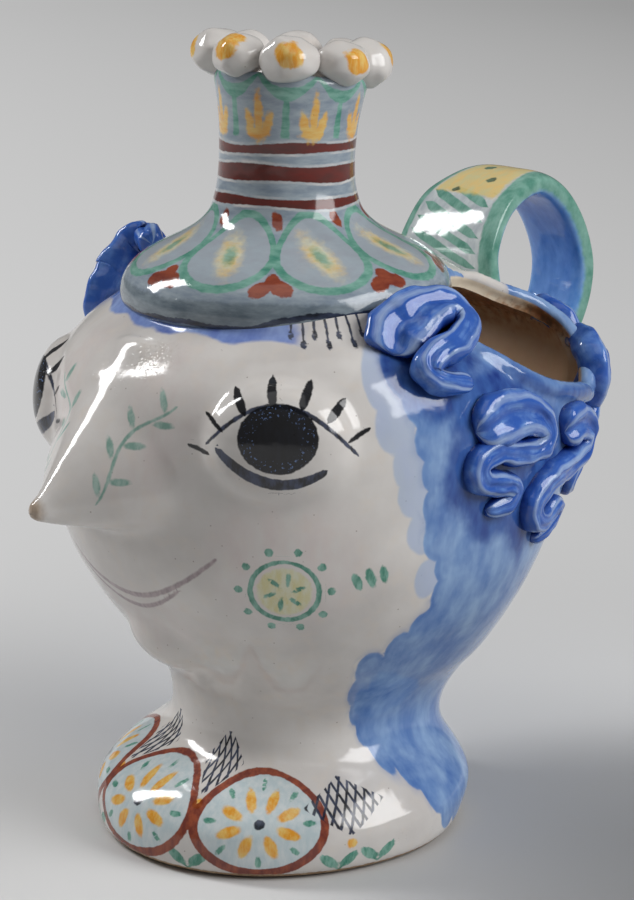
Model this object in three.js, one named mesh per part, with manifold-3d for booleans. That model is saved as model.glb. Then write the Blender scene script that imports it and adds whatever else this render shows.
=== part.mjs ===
// A figural planter in glazed earthenware: a lady's head on a flared shoulder foot, with a domed
// hat that carries a beaded bottle neck, a strap handle over the back of the head, and a wide
// planting mouth on each side, where a plant's leaves become the hair.
//
// It is built as a potter builds it. Thrown and modelled pieces are luted together with slip,
// so each one is a solid of its own with a thin slip joint round it.
//
// Millimetres, +Z up. The face looks along -Y and the lady's left is +X. The origin is the
// centre of the foot, on the surface that the planter stands on.

import * as THREE from 'three';
import { mergeVertices } from 'three/addons/utils/BufferGeometryUtils.js';
import Module from 'manifold-3d';

const wasm = await Module();
wasm.setup();

// The main sizes
const crownHeight = 258; // the top of the thrown head, under the hat
const collarTop = 45; // where the neck is luted on the shoulder foot
const faceReach = 103; // from the axis to the face, at its furthest
const earReach = 108; // from the axis to the side of the head
const backReach = 144; // from the axis to the back of the head

// Clay
const wall = 7; // thickness of the thrown wall
const slipJoint = 0.3; // gap left for the slip between two luted pieces

// The foot
const footRounding = 4; // where the foot meets the table
const slabThickness = 8; // base slab that closes the foot

// The thrown body, as the lowest to the highest section. Each section is an oval round the axis:
// front is its reach towards the face, side towards an ear, back towards the handle. Those above
// the foot are at shares of the way from the collar to the crown.
const aboveCollar = (share) => collarTop + share * (crownHeight - collarTop);
const body = [
  { height: 0, front: faceReach - 12, side: earReach - 26, back: backReach - 68 },
  { height: 8, front: faceReach - 12, side: earReach - 25, back: backReach - 64 },
  { height: 18, front: faceReach - 12.5, side: earReach - 24, back: backReach - 59 },
  { height: 26, front: faceReach - 18, side: earReach - 29, back: backReach - 62 },
  { height: 33, front: faceReach - 27, side: earReach - 35, back: backReach - 66 },
  { height: 39, front: faceReach - 41, side: earReach - 42, back: backReach - 69 },
  { height: collarTop, front: faceReach - 50, side: earReach - 48, back: backReach - 67 },
  { height: aboveCollar(0.0423), front: faceReach - 53, side: earReach - 51, back: backReach - 61 },
  { height: aboveCollar(0.0986), front: faceReach - 53, side: earReach - 47, back: backReach - 54 },
  { height: aboveCollar(0.1643), front: faceReach - 44, side: earReach - 35, back: backReach - 47 },
  { height: aboveCollar(0.2441), front: faceReach - 31, side: earReach - 22, back: backReach - 40 },
  { height: aboveCollar(0.3286), front: faceReach - 18, side: earReach - 11, back: backReach - 34 },
  { height: aboveCollar(0.4178), front: faceReach - 7.5, side: earReach - 4, back: backReach - 26 },
  { height: aboveCollar(0.5258), front: faceReach - 1, side: earReach - 1, back: backReach - 16 },
  { height: aboveCollar(0.6432), front: faceReach, side: earReach, back: backReach - 3 },
  { height: aboveCollar(0.7418), front: faceReach - 1, side: earReach - 1, back: backReach },
  { height: aboveCollar(0.8122), front: faceReach - 6, side: earReach - 5, back: backReach - 5 },
  { height: aboveCollar(0.8685), front: faceReach - 18, side: earReach - 12, back: backReach - 20 },
  { height: aboveCollar(0.9155), front: faceReach - 32.5, side: earReach - 26, back: backReach - 43 },
  { height: crownHeight, front: faceReach - 43, side: earReach - 45, back: backReach - 76 },
];
const neckTop = crownHeight - 178; // where the head is luted on the neck
const backSquareness = 2.4; // of the back of the head: 2 is a true oval, and more is squarer

// The hat, and the bottle neck that stands on it, as radius and height
const brimRadius = 73;
const hatTop = crownHeight + 29;
const hat = [
  { radius: brimRadius - 1.5, height: crownHeight - 18 },
  { radius: brimRadius, height: crownHeight - 11 },
  { radius: brimRadius - 4, height: crownHeight - 1.5 },
  { radius: brimRadius - 14, height: crownHeight + 5.5 },
  { radius: 47, height: crownHeight + 11.5 },
  { radius: 36.5, height: crownHeight + 18.5 },
  { radius: 31.5, height: hatTop },
];
const hatWall = 6;
const rimRadius = 33.6;
const bottleHeight = 51; // from the hat to the rim
const bottleNeck = [
  hat.at(-1),
  { radius: 29.8, height: hatTop + 12 },
  { radius: 30, height: hatTop + 26 },
  { radius: rimRadius - 2, height: hatTop + bottleHeight - 12 },
  { radius: rimRadius, height: hatTop + bottleHeight },
];
const bottleWall = 6;
const rimLean = 3; // how far the bottle neck's rim stands behind the hat's middle
const rimTilt = 5; // degrees that the rim tips down to the back

// The beads pressed on the bottle neck's rim
const beadCount = 8;
const beadHalfWidth = 11.6;
const beadHalfHeight = 11;
const beadInset = 2.5; // from the rim's outer edge in to a bead's middle
const beadRise = 7; // from the rim up to a bead's middle
const beadStart = 3; // degrees from the face to the first bead's middle

// The planting mouths, each an oval cut through the top of the head. The left one is given.
const mouthSideways = earReach - 43; // from the axis to the oval's centre
const mouthBackwards = backReach - 67;
const mouthHalfWidth = 28;
const mouthHalfLength = 48.5;
const mouthTurn = 18; // degrees that its back end leans to the middle
const mouthLipRadius = 4.6; // coil of clay round the mouth's edge
const mouthDip = 10; // how far the head's top is pressed down beside the mouth's outer edge
const dipAngle = 122; // degrees from the face to the middle of that dip
const dipSpread = 27; // degrees over which it fades out
const dipStart = crownHeight - 93; // height at which it begins
const dipFull = crownHeight - 46; // height from which it is at its full depth

// The nose, a full cone luted on the face, from the section buried in the face to its tip. Out is
// from the face's surface at noseHeight, and top and bottom are from noseHeight.
const noseHeight = crownHeight - 90;
const nose = [
  { out: -20, top: 70, bottom: -20, halfWidth: 46 },
  { out: -1, top: 44, bottom: -13, halfWidth: 37 },
  { out: 17, top: 22, bottom: -8.5, halfWidth: 18 },
  { out: 28, top: 9, bottom: -5, halfWidth: 6.5 },
  { out: 34, top: 3.5, bottom: -3, halfWidth: 3.2 },
];
const noseTipRadius = 3.2; // the round end beyond the last section
const noseRidge = 0.42; // how much narrower the ridge is than the underside

// The eyeballs and the chin, pressed on the face
const eyes = {
  left: { angle: 49, height: crownHeight - 57 }, // degrees from the middle of the face
  right: { angle: 48, height: crownHeight - 63 },
};
const eyeHalfWidth = 31;
const eyeHalfHeight = 26;
const eyeDepth = 15;
const eyeSunk = 5; // from the face's surface in to the eyeball's centre
const chinHeight = crownHeight - 163;
const chinHalfWidth = 24;
const chinHalfHeight = 18;
const chinDepth = 12;
const chinSunk = 5;

// The strap handle in the middle plane, as the strap's centre from its front root to its back one
const handle = [
  { back: backReach - 45, height: crownHeight - 36, width: 68, thickness: 12 },
  { back: backReach - 48, height: crownHeight - 8, width: 66, thickness: 11 },
  { back: backReach - 34, height: crownHeight + 14, width: 56, thickness: 11.5 },
  { back: backReach - 7, height: crownHeight + 21.5, width: 44, thickness: 12 },
  { back: backReach + 16, height: crownHeight + 7, width: 38, thickness: 13 },
  { back: backReach + 29, height: crownHeight - 22, width: 36, thickness: 13 },
  { back: backReach + 21, height: crownHeight - 50, width: 36, thickness: 13 },
  { back: backReach - 4, height: crownHeight - 72, width: 38, thickness: 13 },
];

// The curls, for the lady's left side. Each is one coil of clay on the head, along points given as
// degrees from the face, depth below the crown, half width and half thickness, and where the coil
// stands up from the head, how far. The right side mirrors them, apart from its own temple curl.
const sideCurls = {
  temple_curl: [
    [77, 17, 10, 8, 3], [83, 18, 12, 9, 14], [92, 19, 11, 9, 16], [98.5, 23, 9, 9, 13],
    [95, 30, 7.5, 9, 10], [88, 32, 7.5, 9, 7], [87, 39, 7, 8, 4],
    [91, 45, 6, 7, 2], [98, 48, 4.5, 5],
  ],
  side_curl: [
    [98, 59, 8, 5], [104, 56, 10, 7], [112, 57, 9, 8], [118, 64, 7, 8], [116.5, 72, 6.5, 8],
    [109.5, 72.5, 6, 7], [102.5, 69, 6, 7], [97, 73, 6, 7], [98, 80.5, 6, 7], [104, 83.5, 6, 7],
    [108.5, 88, 5.5, 6], [106, 94, 5, 5], [100.5, 94.5, 4, 4],
  ],
  back_curl: [
    [127, 72, 9, 6], [132, 69, 8.5, 7], [136.5, 74, 7.5, 8], [136, 82, 7, 8], [130, 86.5, 6.5, 7],
    [122, 89, 6, 7], [116.5, 97, 6, 7], [117.5, 105.5, 5.5, 7], [122.5, 107, 5.5, 6],
    [126, 103, 5, 6], [128.5, 108, 5, 5], [125, 113.5, 4, 5], [120.5, 117.5, 4, 4],
  ],
};
// These hang from the planting mouth's back end, so their degrees and depths count from there.
const mouthCurls = {
  rear_curl: [
    [3, 8.5, 4.5, 5], [-1.5, 8.5, 6, 7, 1], [-7, 12, 7, 8, 3], [-9, 19, 7, 8, 3],
    [-8.5, 26.5, 6.5, 8, 1], [-6, 34, 6.5, 7.5], [-7, 42, 6, 7], [-11, 49.5, 5.5, 6],
    [-15, 57, 5, 5.5], [-16, 65, 4.5, 5], [-13, 71, 4, 4.5],
  ],
  crown_curl: [
    [2, 10.5, 4.5, 5], [5, 3, 6, 7], [9, -1, 6.5, 7], [12.5, 1.5, 6, 6.5], [13.5, 8.5, 5, 5.5],
    [11.5, 14.5, 4.5, 4.5],
  ],
};
const rightTempleCurl = [
  [82, 12, 8, 8, 4], [86, 18, 9, 8, 13], [81, 27, 10, 8, 20], [78, 33, 10, 8, 16],
  [76, 39, 9, 8, 11], [75, 46, 7, 7, 5], [79, 52, 6, 6, 1], [85, 53, 4.5, 5],
];
const curlSeat = 0.35; // share of a curl's half thickness that its middle stands above the clay

// How finely the round forms are cut into flats
const bodyColumns = 36;
const latheColumns = 28;
const headStep = 8.5;
const footStep = 6;
const neckStep = 8;
const hatSteps = 9;
const bottleSteps = 5;
const mouthSteps = 26;
const noseSides = 18;
const noseSteps = 6;
const strapSides = 12;
const strapSteps = 18;
const curlSides = 6;
const curlSteps = 1.5; // for each point of its route
const coilSides = 6;

const glazes = {
  white: new THREE.MeshStandardMaterial({ color: 0xe9e4e0, roughness: 0.12, metalness: 0 }),
  blue: new THREE.MeshStandardMaterial({ color: 0x4468c8, roughness: 0.14, metalness: 0 }),
  hat: new THREE.MeshStandardMaterial({ color: 0xb9c4c6, roughness: 0.12, metalness: 0 }),
  green: new THREE.MeshStandardMaterial({ color: 0x8fb5a2, roughness: 0.14, metalness: 0 }),
  bisque: new THREE.MeshStandardMaterial({ color: 0xcdb9a2, roughness: 0.8, metalness: 0 }),
};

const leftAndRight = [{ side: 'left', sign: 1 }, { side: 'right', sign: -1 }];
const radians = THREE.MathUtils.degToRad;

// Solids

// Makes a closed solid from a geometry.
function solid(geometry) {
  const shape = new THREE.BufferGeometry();
  shape.setAttribute('position', geometry.getAttribute('position'));
  shape.setIndex(geometry.index);
  const merged = mergeVertices(shape, 1e-3);
  return new wasm.Manifold(new wasm.Mesh({
    numProp: 3,
    vertProperties: merged.getAttribute('position').array,
    triVerts: new Uint32Array(merged.index.array),
  }));
}

// Turns a solid back into a geometry that a mesh can carry.
function geometryOf(made) {
  const { numProp, numVert, vertProperties, triVerts } = made.getMesh();
  const places = new Float32Array(numVert * 3);
  for (let i = 0; i < numVert; i++) {
    places.set(vertProperties.subarray(i * numProp, i * numProp + 3), i * 3);
  }
  const geometry = new THREE.BufferGeometry();
  geometry.setAttribute('position', new THREE.BufferAttribute(places, 3));
  geometry.setIndex(new THREE.BufferAttribute(triVerts, 1));
  geometry.computeVertexNormals();
  return geometry;
}

const middleOf = (points) =>
  points.reduce((sum, p) => sum.add(p), new THREE.Vector3()).divideScalar(points.length);

// Joins rings of points, in order, into one skin. Each ring runs anticlockwise seen from the last one.
// The ends are closed by a fan, or by joining the last ring to the first.
function loft(rings, endsMeet = false) {
  const count = rings[0].length;
  const places = rings.flat();
  const faces = [];
  const joins = endsMeet ? rings.length : rings.length - 1;
  for (let r = 0; r < joins; r++) {
    const lower = r * count;
    const upper = ((r + 1) % rings.length) * count;
    for (let i = 0; i < count; i++) {
      const j = (i + 1) % count;
      faces.push(lower + i, lower + j, upper + j, lower + i, upper + j, upper + i);
    }
  }
  if (!endsMeet) {
    const last = (rings.length - 1) * count;
    const firstMiddle = places.push(middleOf(rings[0])) - 1;
    const lastMiddle = places.push(middleOf(rings.at(-1))) - 1;
    for (let i = 0; i < count; i++) {
      const j = (i + 1) % count;
      faces.push(j, i, firstMiddle, last + i, last + j, lastMiddle);
    }
  }
  return solid(new THREE.BufferGeometry().setFromPoints(places).setIndex(faces));
}

// A smooth curve through one measure of the body's sections, which never overshoots a section.
function faired(sections, measure) {
  const x = sections.map((s) => s.height);
  const y = sections.map((s) => s[measure]);
  const rise = x.slice(1).map((next, i) => (y[i + 1] - y[i]) / (next - x[i]));
  const slope = x.map((_, i) => {
    if (i === 0) return rise[0];
    if (i === x.length - 1) return rise.at(-1);
    return rise[i - 1] * rise[i] <= 0 ? 0 : (2 * rise[i - 1] * rise[i]) / (rise[i - 1] + rise[i]);
  });
  return (height) => {
    const h = THREE.MathUtils.clamp(height, x[0], x.at(-1));
    const i = Math.max(0, x.findIndex((top, k) => k > 0 && h <= top) - 1);
    const span = x[i + 1] - x[i];
    const t = (h - x[i]) / span;
    return y[i] * (1 + 2 * t) * (1 - t) ** 2 + slope[i] * span * t * (1 - t) ** 2
      + y[i + 1] * t * t * (3 - 2 * t) + slope[i + 1] * span * t * t * (t - 1);
  };
}

const reachAt = {
  front: faired(body, 'front'),
  side: faired(body, 'side'),
  back: faired(body, 'back'),
};
const widestHeight = body.reduce((widest, s) => (s.back > widest.back ? s : widest)).height;

// How far the head's top is pressed down at an angle from the face, in radians, and a height.
function dipAt(angle, height) {
  const fromFace = Math.acos(THREE.MathUtils.clamp(Math.cos(angle), -1, 1));
  const offset = (fromFace - radians(dipAngle)) / radians(dipSpread);
  const share = Math.exp(-offset * offset) * THREE.MathUtils.smoothstep(height, dipStart, dipFull);
  return mouthDip * share;
}

// The body's radius at an angle from the face, in radians, and a height.
function bodyRadius(angle, height) {
  const level = height + dipAt(angle, height);
  const across = Math.abs(Math.sin(angle)) / reachAt.side(level);
  const backwards = -Math.cos(angle);
  const along = Math.abs(backwards) / (backwards > 0 ? reachAt.back(level) : reachAt.front(level));
  const aboveNeck = THREE.MathUtils.smoothstep(level, collarTop, neckTop);
  const power = backwards > 0 ? THREE.MathUtils.lerp(2, backSquareness, aboveNeck) : 2;
  return (across ** power + along ** power) ** (-1 / power);
}

// The clay's inside face: a wall in from the outside, and a wall down from the top of the head.
const cavityRadius = (angle, height) =>
  Math.min(bodyRadius(angle, height) - wall, bodyRadius(angle, height + wall));

const around = (angle, radius, height) =>
  new THREE.Vector3(radius * Math.sin(angle), -radius * Math.cos(angle), height);

function bodyRing(height, radiusAt, grow = 0) {
  const ring = [];
  for (let i = 0; i < bodyColumns; i++) {
    const angle = (i / bodyColumns) * 2 * Math.PI;
    ring.push(around(angle, radiusAt(angle, height) + grow, height));
  }
  return ring;
}

// The heights that a slice of the body is faceted at: its ends, and steps between them.
function levels(bottom, top, step) {
  const count = Math.max(1, Math.round((top - bottom) / step));
  return Array.from({ length: count + 1 }, (_, i) => bottom + ((top - bottom) * i) / count);
}

// A tube of the body's wall between two heights, open at both ends.
function bodySlice(bottom, top, step) {
  const heights = levels(bottom, top, step);
  const outside = heights.map((height) => bodyRing(height, bodyRadius));
  const inside = heights.map((height) => bodyRing(height, cavityRadius)).reverse();
  return loft([...outside, ...inside], true);
}

// The whole outside of the head as a full solid, made larger all round by grow.
function fullHead(grow) {
  return loft(levels(neckTop, crownHeight, headStep).map((height) => bodyRing(height, bodyRadius, grow)));
}

// A point on the head's surface, and the way out of the clay there.
function onHead(angle, height, lift = 0) {
  const at = (a, h) => around(a, bodyRadius(a, h), h);
  const small = 0.01;
  const place = at(angle, height);
  const sideways = at(angle + small, height).sub(at(angle - small, height));
  const upwards = at(angle, height + small).sub(at(angle, height - small));
  const out = sideways.cross(upwards).normalize();
  return { place: place.addScaledVector(out, lift), out };
}

// The height of the top of the head over a point in plan.
function topOver(x, y) {
  const angle = Math.atan2(x, -y);
  const radius = Math.hypot(x, y);
  let low = widestHeight - wall;
  let high = crownHeight;
  for (let i = 0; i < 30; i++) {
    const middle = (low + high) / 2;
    if (bodyRadius(angle, middle) > radius) low = middle;
    else high = middle;
  }
  return low;
}

// Turned pieces

// A turned solid that stands upright, from its profile as radius and height.
function turned(profile) {
  const geometry = new THREE.LatheGeometry(profile, latheColumns).rotateX(Math.PI / 2);
  const place = new THREE.Vector3();
  const places = geometry.getAttribute('position');
  for (let i = 0; i < places.count; i++) {
    leaned(place.fromBufferAttribute(places, i)).toArray(places.array, i * 3);
  }
  return solid(geometry);
}

function outline(points) {
  return new THREE.SplineCurve(points.map((p) => new THREE.Vector2(p.radius, p.height)));
}

// A turned shell from its outer outline, listed from the bottom up, with a wall thickness.
function turnedShell(points, thickness, steps) {
  const curve = outline(points);
  const outside = curve.getPoints(steps);
  const inside = outside.map((p, i) => {
    const along = curve.getTangent(i / steps);
    return new THREE.Vector2(p.x - along.y * thickness, p.y + along.x * thickness);
  });
  inside[0].y = outside[0].y;
  inside[steps].y = outside[steps].y;
  return turned([...outside, ...inside.reverse(), outside[0]]);
}

// The same outline as a full solid, made larger all round by grow.
function turnedSolid(points, grow, steps) {
  const curve = outline(points);
  const outside = curve.getPoints(steps).map((p, i) => {
    const along = curve.getTangent(i / steps);
    return new THREE.Vector2(p.x + along.y * grow, p.y - along.x * grow);
  });
  const foot = outside[0].y - grow;
  const head = outside[steps].y + grow;
  return turned([
    new THREE.Vector2(0, foot),
    new THREE.Vector2(outside[0].x, foot),
    ...outside,
    new THREE.Vector2(outside[steps].x, head),
    new THREE.Vector2(0, head),
  ]);
}

// Leans a point of the bottle neck back, the more the higher it stands, and tips the rim with it.
function leaned(place) {
  const low = hat.at(-1).height;
  const share = Math.max(0, (place.z - low) / (bottleNeck.at(-1).height - low)) ** 1.5;
  const drop = place.y * Math.tan(radians(rimTilt)) * share;
  return place.set(place.x, place.y + rimLean * share, place.z - drop);
}

const fullHat = turnedSolid(hat, slipJoint, hatSteps);
const fullBottle = turnedSolid(bottleNeck, slipJoint, bottleSteps);

function baseSlab() {
  const rounding = new THREE.EllipseCurve(
    -footRounding, footRounding, footRounding, footRounding, -Math.PI / 2, 0,
  );
  const rings = rounding.getPoints(3).map(({ x, y }) => bodyRing(y, bodyRadius, x));
  return loft([...rings, bodyRing(slabThickness, bodyRadius)]);
}

// The planting mouths

// A point of the left mouth's edge in plan, t being the share of the way round.
function mouthEdge(t, grow = 0) {
  const angle = t * 2 * Math.PI;
  const plan = new THREE.Vector2(Math.cos(angle), Math.sin(angle));
  plan.multiply(new THREE.Vector2(mouthHalfWidth + grow, mouthHalfLength + grow));
  plan.rotateAround(new THREE.Vector2(), radians(mouthTurn));
  return plan.add(new THREE.Vector2(mouthSideways, mouthBackwards));
}

function mouthCutter(sign) {
  const ring = (height) => Array.from({ length: mouthSteps }, (_, i) => {
    const plan = mouthEdge((sign * i) / mouthSteps);
    return new THREE.Vector3(sign * plan.x, plan.y, height);
  });
  return loft([ring(widestHeight - wall), ring(crownHeight + wall)]);
}

// The coil round a mouth's edge, with its radius made larger by grow.
function mouthLip(sign, grow = 0) {
  const rings = [];
  for (let i = 0; i < mouthSteps; i++) {
    const t = (sign * i) / mouthSteps;
    const edge = mouthEdge(t);
    const outer = mouthEdge(t, 1);
    const out = new THREE.Vector3(sign * (outer.x - edge.x), outer.y - edge.y, 0).normalize();
    const middle = new THREE.Vector3(sign * edge.x, edge.y, topOver(edge.x, edge.y));
    const radius = mouthLipRadius + grow;
    rings.push(Array.from({ length: coilSides }, (_, k) => {
      const a = (-k / coilSides) * 2 * Math.PI;
      const up = new THREE.Vector3(0, 0, radius * Math.sin(a));
      return middle.clone().addScaledVector(out, radius * Math.cos(a)).add(up);
    }));
  }
  return loft(rings, true);
}

// Modelled pieces

// An oval lump seated on the face, with its middle sunk below the surface.
function lump(angle, height, halfWidth, halfHeight, depth, sunk) {
  const { place, out } = onHead(angle, height, -sunk);
  const upwards = new THREE.Vector3(0, 0, 1).addScaledVector(out, -out.z).normalize();
  const sideways = upwards.clone().cross(out);
  const geometry = new THREE.SphereGeometry(1, 18, 10);
  geometry.scale(halfWidth, halfHeight, depth);
  geometry.applyMatrix4(new THREE.Matrix4().makeBasis(sideways, upwards, out).setPosition(place));
  return solid(geometry);
}

const noseSeat = new THREE.Vector3(0, -reachAt.front(noseHeight), noseHeight);

// One section of the nose: narrow at the ridge and wide at the underside.
function noseRing(out, top, bottom, halfWidth) {
  return Array.from({ length: noseSides }, (_, k) => {
    const a = (-k / noseSides) * 2 * Math.PI;
    const taper = 1 - noseRidge * Math.cos(a);
    const height = (top + bottom) / 2 + ((top - bottom) / 2) * Math.cos(a);
    return new THREE.Vector3(halfWidth * Math.sin(a) * taper, -out, height).add(noseSeat);
  });
}

function noseCone() {
  const outs = new THREE.CatmullRomCurve3(nose.map((s) => new THREE.Vector3(s.out, 0, 0)));
  const sizes = new THREE.CatmullRomCurve3(
    nose.map((s) => new THREE.Vector3(s.top, s.bottom, s.halfWidth)),
  );
  const rings = [];
  for (let i = 0; i <= noseSteps; i++) {
    const size = sizes.getPoint(i / noseSteps);
    rings.push(noseRing(outs.getPoint(i / noseSteps).x, size.x, size.y, size.z));
  }
  const tip = nose.at(-1);
  const middle = (tip.top + tip.bottom) / 2;
  for (const turn of [35, 65].map(radians)) {
    const out = tip.out + noseTipRadius * Math.sin(turn);
    const half = ((tip.top - tip.bottom) / 2) * Math.cos(turn);
    rings.push(noseRing(out, middle + half, middle - half, tip.halfWidth * Math.cos(turn)));
  }
  return loft(rings);
}

// A strap's section is flat with full round edges: its corners fill out as this root does.
const filledOut = (value) => Math.sign(value) * Math.sqrt(Math.abs(value));

function handleStrap(grow = 0) {
  const line = new THREE.CatmullRomCurve3(
    handle.map((s) => new THREE.Vector3(0, s.back, s.height)),
  );
  const section = new THREE.CatmullRomCurve3(
    handle.map((s) => new THREE.Vector3(s.width, s.thickness, 0)),
  );
  const across = new THREE.Vector3(1, 0, 0);
  const rings = [];
  for (let i = 0; i <= strapSteps; i++) {
    const middle = line.getPoint(i / strapSteps);
    const out = across.clone().cross(line.getTangent(i / strapSteps));
    const size = section.getPoint(i / strapSteps);
    rings.push(Array.from({ length: strapSides }, (_, k) => {
      const a = (-k / strapSides) * 2 * Math.PI;
      return middle.clone()
        .addScaledVector(across, (size.x / 2 + grow) * filledOut(Math.cos(a)))
        .addScaledVector(out, (size.y / 2 + grow) * filledOut(Math.sin(a)));
    }));
  }
  return loft(rings);
}

// The curls on one side, each as its name and its points.
function curlsOn(side) {
  const back = mouthEdge(0.25);
  const backAngle = THREE.MathUtils.radToDeg(Math.atan2(back.x, -back.y));
  const backDepth = crownHeight - topOver(back.x, back.y);
  const hung = Object.entries(mouthCurls).map(([name, points]) => [name, points.map(
    ([angle, depth, ...sizes]) => [backAngle + angle, backDepth + depth, ...sizes],
  )]);
  const laid = side === 'right' ? { ...sideCurls, temple_curl: rightTempleCurl } : sideCurls;
  return [...Object.entries(laid), ...hung];
}

// The small ring that makes a coil's end round, beyond its last ring.
function roundEnd(last, beforeLast) {
  const middle = middleOf(last);
  const beyond = middle.clone().sub(middleOf(beforeLast)).normalize();
  beyond.multiplyScalar(last[0].distanceTo(middle) * 0.6);
  return last.map((p) => p.clone().lerp(middle, 0.45).add(beyond));
}

// A tapering coil of clay pressed on the head along a list of points.
function curl(points, sign, grow = 0) {
  const steps = Math.round(points.length * curlSteps);
  const route = new THREE.CatmullRomCurve3(
    points.map(([angle, depth]) => new THREE.Vector3(angle, crownHeight - depth, 0)),
  );
  const size = new THREE.CatmullRomCurve3(
    points.map(([, , ...sizes]) => new THREE.Vector3(sizes[0], sizes[1], sizes[2] ?? 0)),
  );
  const stations = [];
  for (let i = 0; i <= steps; i++) {
    const at = route.getPoint(i / steps);
    const { x: halfWidth, y: halfThickness, z: standing } = size.getPoint(i / steps);
    const { place, out } = onHead(sign * radians(at.x), at.y, halfThickness * curlSeat + standing);
    stations.push({ place, out, halfWidth, halfThickness });
  }
  const rings = stations.map(({ place, out, halfWidth, halfThickness }, i) => {
    const before = stations[Math.max(0, i - 1)].place;
    const after = stations[Math.min(steps, i + 1)].place;
    const across = out.clone().cross(after.clone().sub(before)).normalize();
    return Array.from({ length: curlSides }, (_, k) => {
      const a = (k / curlSides) * 2 * Math.PI;
      return place.clone()
        .addScaledVector(across, (halfWidth + grow) * Math.cos(a))
        .addScaledVector(out, (halfThickness + grow) * Math.sin(a));
    });
  });
  return loft([roundEnd(rings[0], rings[1]), ...rings, roundEnd(rings.at(-1), rings.at(-2))]);
}

// The pieces, each cut back from what it is luted on

const planter = new THREE.Group();
planter.name = 'figural_planter';

// A group for the pieces that are luted on one another.
function assembly(name) {
  const group = new THREE.Group();
  group.name = name;
  planter.add(group);
  return group;
}

// Adds a piece to its assembly, with the mesh's own origin at a seat.
function add(group, name, made, glaze, seat = new THREE.Vector3()) {
  const geometry = geometryOf(made).translate(-seat.x, -seat.y, -seat.z);
  const mesh = new THREE.Mesh(geometry, glaze);
  mesh.name = name;
  mesh.position.copy(seat);
  group.add(mesh);
}

// Cuts a piece back from what it is luted on. A cut can leave a crumb, so the largest body is kept.
function cutBack(made, ...neighbours) {
  const bodies = neighbours.reduce((left, cutter) => left.subtract(cutter), made).decompose();
  return bodies.reduce((largest, body) => (body.volume() > largest.volume() ? body : largest));
}

const neckLevels = levels(collarTop, neckTop, neckStep);
const neckWithJoint = loft(neckLevels.map((height) => bodyRing(height, bodyRadius, slipJoint)));
const headWithJoint = fullHead(slipJoint).add(neckWithJoint);

function headShell() {
  const heights = levels(neckTop - wall, crownHeight - wall, headStep * 1.4);
  const inside = loft(heights.map((height) => bodyRing(height, cavityRadius)));
  return cutBack(fullHead(0), inside, fullHat, mouthCutter(1), mouthCutter(-1));
}

const foot = assembly('foot');
add(foot, 'base_slab', baseSlab(), glazes.bisque);
add(foot, 'shoulder_foot', bodySlice(slabThickness, collarTop, footStep), glazes.white);

const head = assembly('head');
add(head, 'neck', bodySlice(collarTop, neckTop, neckStep), glazes.white);
add(head, 'head_shell', headShell(), glazes.white);

const crown = assembly('crown');
add(crown, 'hat_dome', turnedShell(hat, hatWall, hatSteps), glazes.hat);
add(crown, 'bottle_neck', turnedShell(bottleNeck, bottleWall, bottleSteps), glazes.hat);

function bead(seat, grow = 0) {
  const geometry = new THREE.SphereGeometry(1, 12, 8).rotateX(Math.PI / 2);
  geometry.scale(beadHalfWidth + grow, beadHalfWidth + grow, beadHalfHeight + grow);
  return solid(geometry.translate(seat.x, seat.y, seat.z));
}

let rimWithBeads = fullBottle;
for (let i = 0; i < beadCount; i++) {
  const angle = radians(beadStart) + (i / beadCount) * 2 * Math.PI;
  const rim = bottleNeck.at(-1);
  const seat = leaned(around(angle, rim.radius - beadInset, rim.height + beadRise));
  add(crown, `rim_bead_${i + 1}`, cutBack(bead(seat), rimWithBeads), glazes.white, seat);
  rimWithBeads = rimWithBeads.add(bead(seat, slipJoint));
}

const face = assembly('face');
add(face, 'nose', cutBack(noseCone(), headWithJoint), glazes.white, noseSeat);

const chin = lump(0, chinHeight, chinHalfWidth, chinHalfHeight, chinDepth, chinSunk);
add(face, 'chin', cutBack(chin, headWithJoint), glazes.white, onHead(0, chinHeight).place);

for (const { side, sign } of leftAndRight) {
  const { height } = eyes[side];
  const angle = sign * radians(eyes[side].angle);
  const eye = lump(angle, height, eyeHalfWidth, eyeHalfHeight, eyeDepth, eyeSunk);
  const seat = onHead(angle, height).place;
  add(face, `${side}_eyeball`, cutBack(eye, headWithJoint), glazes.white, seat);
}

const hair = assembly('hair');
for (const { side, sign } of leftAndRight) {
  const lip = cutBack(mouthLip(sign), headWithJoint, fullHat);
  add(hair, `${side}_mouth_lip`, lip, glazes.blue);
}

const lipsWithJoint = mouthLip(1, slipJoint).add(mouthLip(-1, slipJoint));
const strap = cutBack(handleStrap(), headWithJoint, lipsWithJoint, fullHat);
add(head, 'handle_strap', strap, glazes.green);

for (const { side, sign } of leftAndRight) {
  let laid = lipsWithJoint.add(handleStrap(slipJoint)).add(fullHat).add(headWithJoint);
  for (const [name, points] of curlsOn(side)) {
    add(hair, `${side}_${name}`, cutBack(curl(points, sign), laid), glazes.blue);
    laid = laid.add(curl(points, sign)).add(curl(points, sign, slipJoint));
  }
}

export default planter;
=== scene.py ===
# A figural planter in tin-glazed earthenware, painted by hand: a lady's head that wears a domed hat
# with a beaded bottle neck. For Blender 4.5. The face looks along -Y, and +Z is up.
import math

import bpy
import numpy as np
from mathutils import Matrix, Vector, kdtree, noise


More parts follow.
